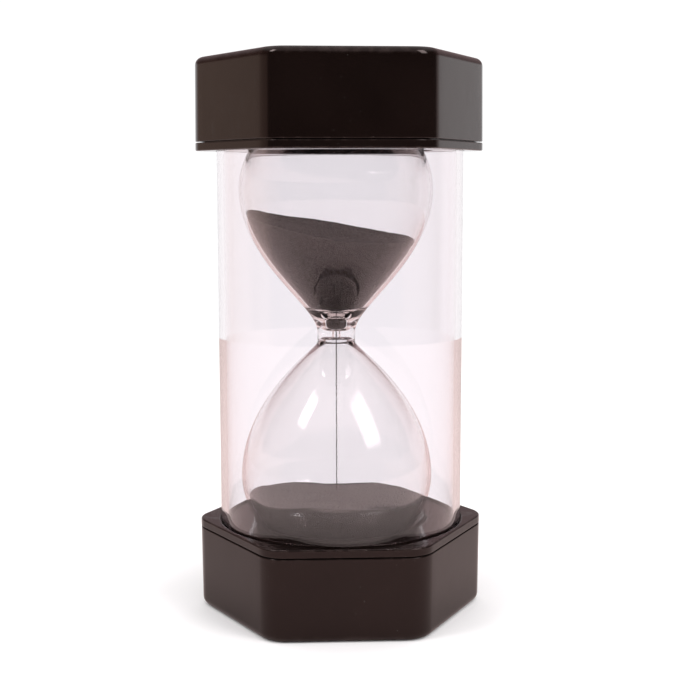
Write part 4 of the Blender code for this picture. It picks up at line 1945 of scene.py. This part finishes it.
@dataclass
class SandTimer:
    """The whole timer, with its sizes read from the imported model."""

    workshop: Workshop
    effects: Effects
    top_twist: float = math.radians(2.0)
    tube_wall: float = 0.0020
    spout_clearance: float = 0.0012
    spout_height: float = 0.0022

    def build(self) -> None:
        """Builds and dresses every sub-assembly in order."""
        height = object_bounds()[1].z
        plate_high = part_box("bottom_plate")[1]
        tube_low, tube_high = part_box("clear_tube")
        bulb_low, bulb_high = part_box("glass_bulb")
        bulb_top = bulb_high.z - self.spout_height
        bulb = Bulb(
            middle=(bulb_low.z + bulb_top) / 2,
            half=(bulb_top - bulb_low.z) / 2,
            radius=(bulb_high.x - bulb_low.x) / 2,
            place=Matrix.Translation(((bulb_low.x + bulb_high.x) / 2, 0.0, 0.0)),
            spout_height=self.spout_height,
        )
        shell_plastic = GlossPlastic("gloss_black_plastic", (0.0045, 0.0024, 0.0020), 0.10)
        plate_plastic = GlossPlastic("gloss_black_cover", (0.0050, 0.0028, 0.0024), 0.08)
        shell = shell_plastic.build(self.effects)
        plate = plate_plastic.build(self.effects)
        foam = Foam("grey_open_foam", (0.13, 0.13, 0.13), 0.9).build(self.effects)
        lobe = (bulb.radius, bulb.lobe_end)
        lower_lobe = bulb.middle - bulb.lobe_offset
        upper_lobe = height - bulb.middle - bulb.lobe_offset
        turned_over = Matrix.Rotation(self.top_twist, 4, "Z") @ Matrix.Rotation(math.pi, 4, "X")
        places = {
            Side.BOTTOM: (Matrix.Identity(4), lower_lobe, 0.0),
            Side.TOP: (
                Matrix.Translation((0, 0, height)) @ turned_over,
                upper_lobe,
                bulb.spout_radius + self.spout_clearance,
            ),
        }
        for side, (place, lobe_height, spout_hole) in places.items():
            cap = Cap(
                side=side,
                apothem=plate_high.y,
                height=plate_high.z,
                tube_outer=tube_high.x,
                tube_inner=tube_high.x - self.tube_wall,
                lobe=lobe,
                lobe_height=lobe_height,
                spout_hole=spout_hole,
                place=place,
            )
            cap.build_shell(shell)
            cap.build_plate(plate)
            cap.build_pad(self.workshop, foam)
        self.build_vessels(bulb, tube_low, tube_high)
        self.build_sand(bulb)

    def build_vessels(self, bulb: Bulb, tube_low: Vector, tube_high: Vector) -> None:
        """The tube, the bulb and its stopper.

        Args:
            bulb: The bulb's sizes.
            tube_low: The tube's lowest corner.
            tube_high: The tube's highest corner.
        """
        acrylic = Glass(
            "clear_tinted_plastic",
            (0.990, 0.955, 0.972),
            0.0,
            ior=1.49,
            smudged=0.02,
            wave=0.00001,
            wave_size=0.03,
        )
        glass = Glass("blown_clear_glass", (0.998, 0.996, 0.998), 0.0, ior=1.5, wave=0.00002)
        tube = Tube(tube_high.x - self.tube_wall, tube_high.x, tube_low.z, tube_high.z)
        tube.build(self.workshop, acrylic.build(self.effects))
        bulb.build(self.workshop, glass.build(self.effects))
        rubber = Rubber("pale_stopper_rubber", (0.42, 0.39, 0.35), 0.7)
        bulb.build_stopper(self.workshop, rubber.build(self.effects))

    def build_sand(self, bulb: Bulb) -> None:
        """Both heaps and the thread between them.

        Args:
            bulb: The bulb that holds them.
        """
        base_sand = BlackSand("black_sand_grains", (0.0160, 0.0095, 0.0075), 0.66, shine=0.28)
        sand = base_sand.build(self.effects)
        # The lower heap gets a lighter, shinier copy of the same sand: painted light, for how
        # bright its surface looks at a grazing view.
        settled = BlackSand("lower_sand_painted_lighter", (0.045, 0.037, 0.035), 0.6, shine=0.55)
        upper = Surface(
            level=bulb.middle + 0.0304,
            fall=math.radians(8.9),
            front=math.radians(3.4),
            swell=0.00025,
            swell_length=0.030,
            turn=0.35,
            dish=0.0007,
        )
        lower = Surface(
            level=bulb.middle - bulb.half + 0.0181,
            fall=math.radians(1.0),
            front=math.radians(-5.0),
            swell=0.0005,
            swell_length=0.030,
            turn=-0.4,
            mound=0.0008,
        )
        heaps = (
            Heap("upper_sand_heap", "upper_sand", bulb, 1, upper, seed=3),
            Heap("lower_sand_heap", "lower_sand", bulb, -1, lower, seed=4),
        )
        for heap, grains in zip(heaps, (sand, settled.build(self.effects))):
            heap.build(self.workshop, grains)
        low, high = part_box("sand_stream")
        stream = Stream(head=high.z, foot=low.z + 0.0008, place=bulb.place)
        stream.build(self.workshop, sand)


def main() -> None:
    """Builds the studio and the timer."""
    logging.basicConfig(level=logging.INFO, format="%(name)s: %(message)s")
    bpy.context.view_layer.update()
    Studio().build()
    SandTimer(Workshop(), Effects()).build()


if __name__ == "__main__":
    main()
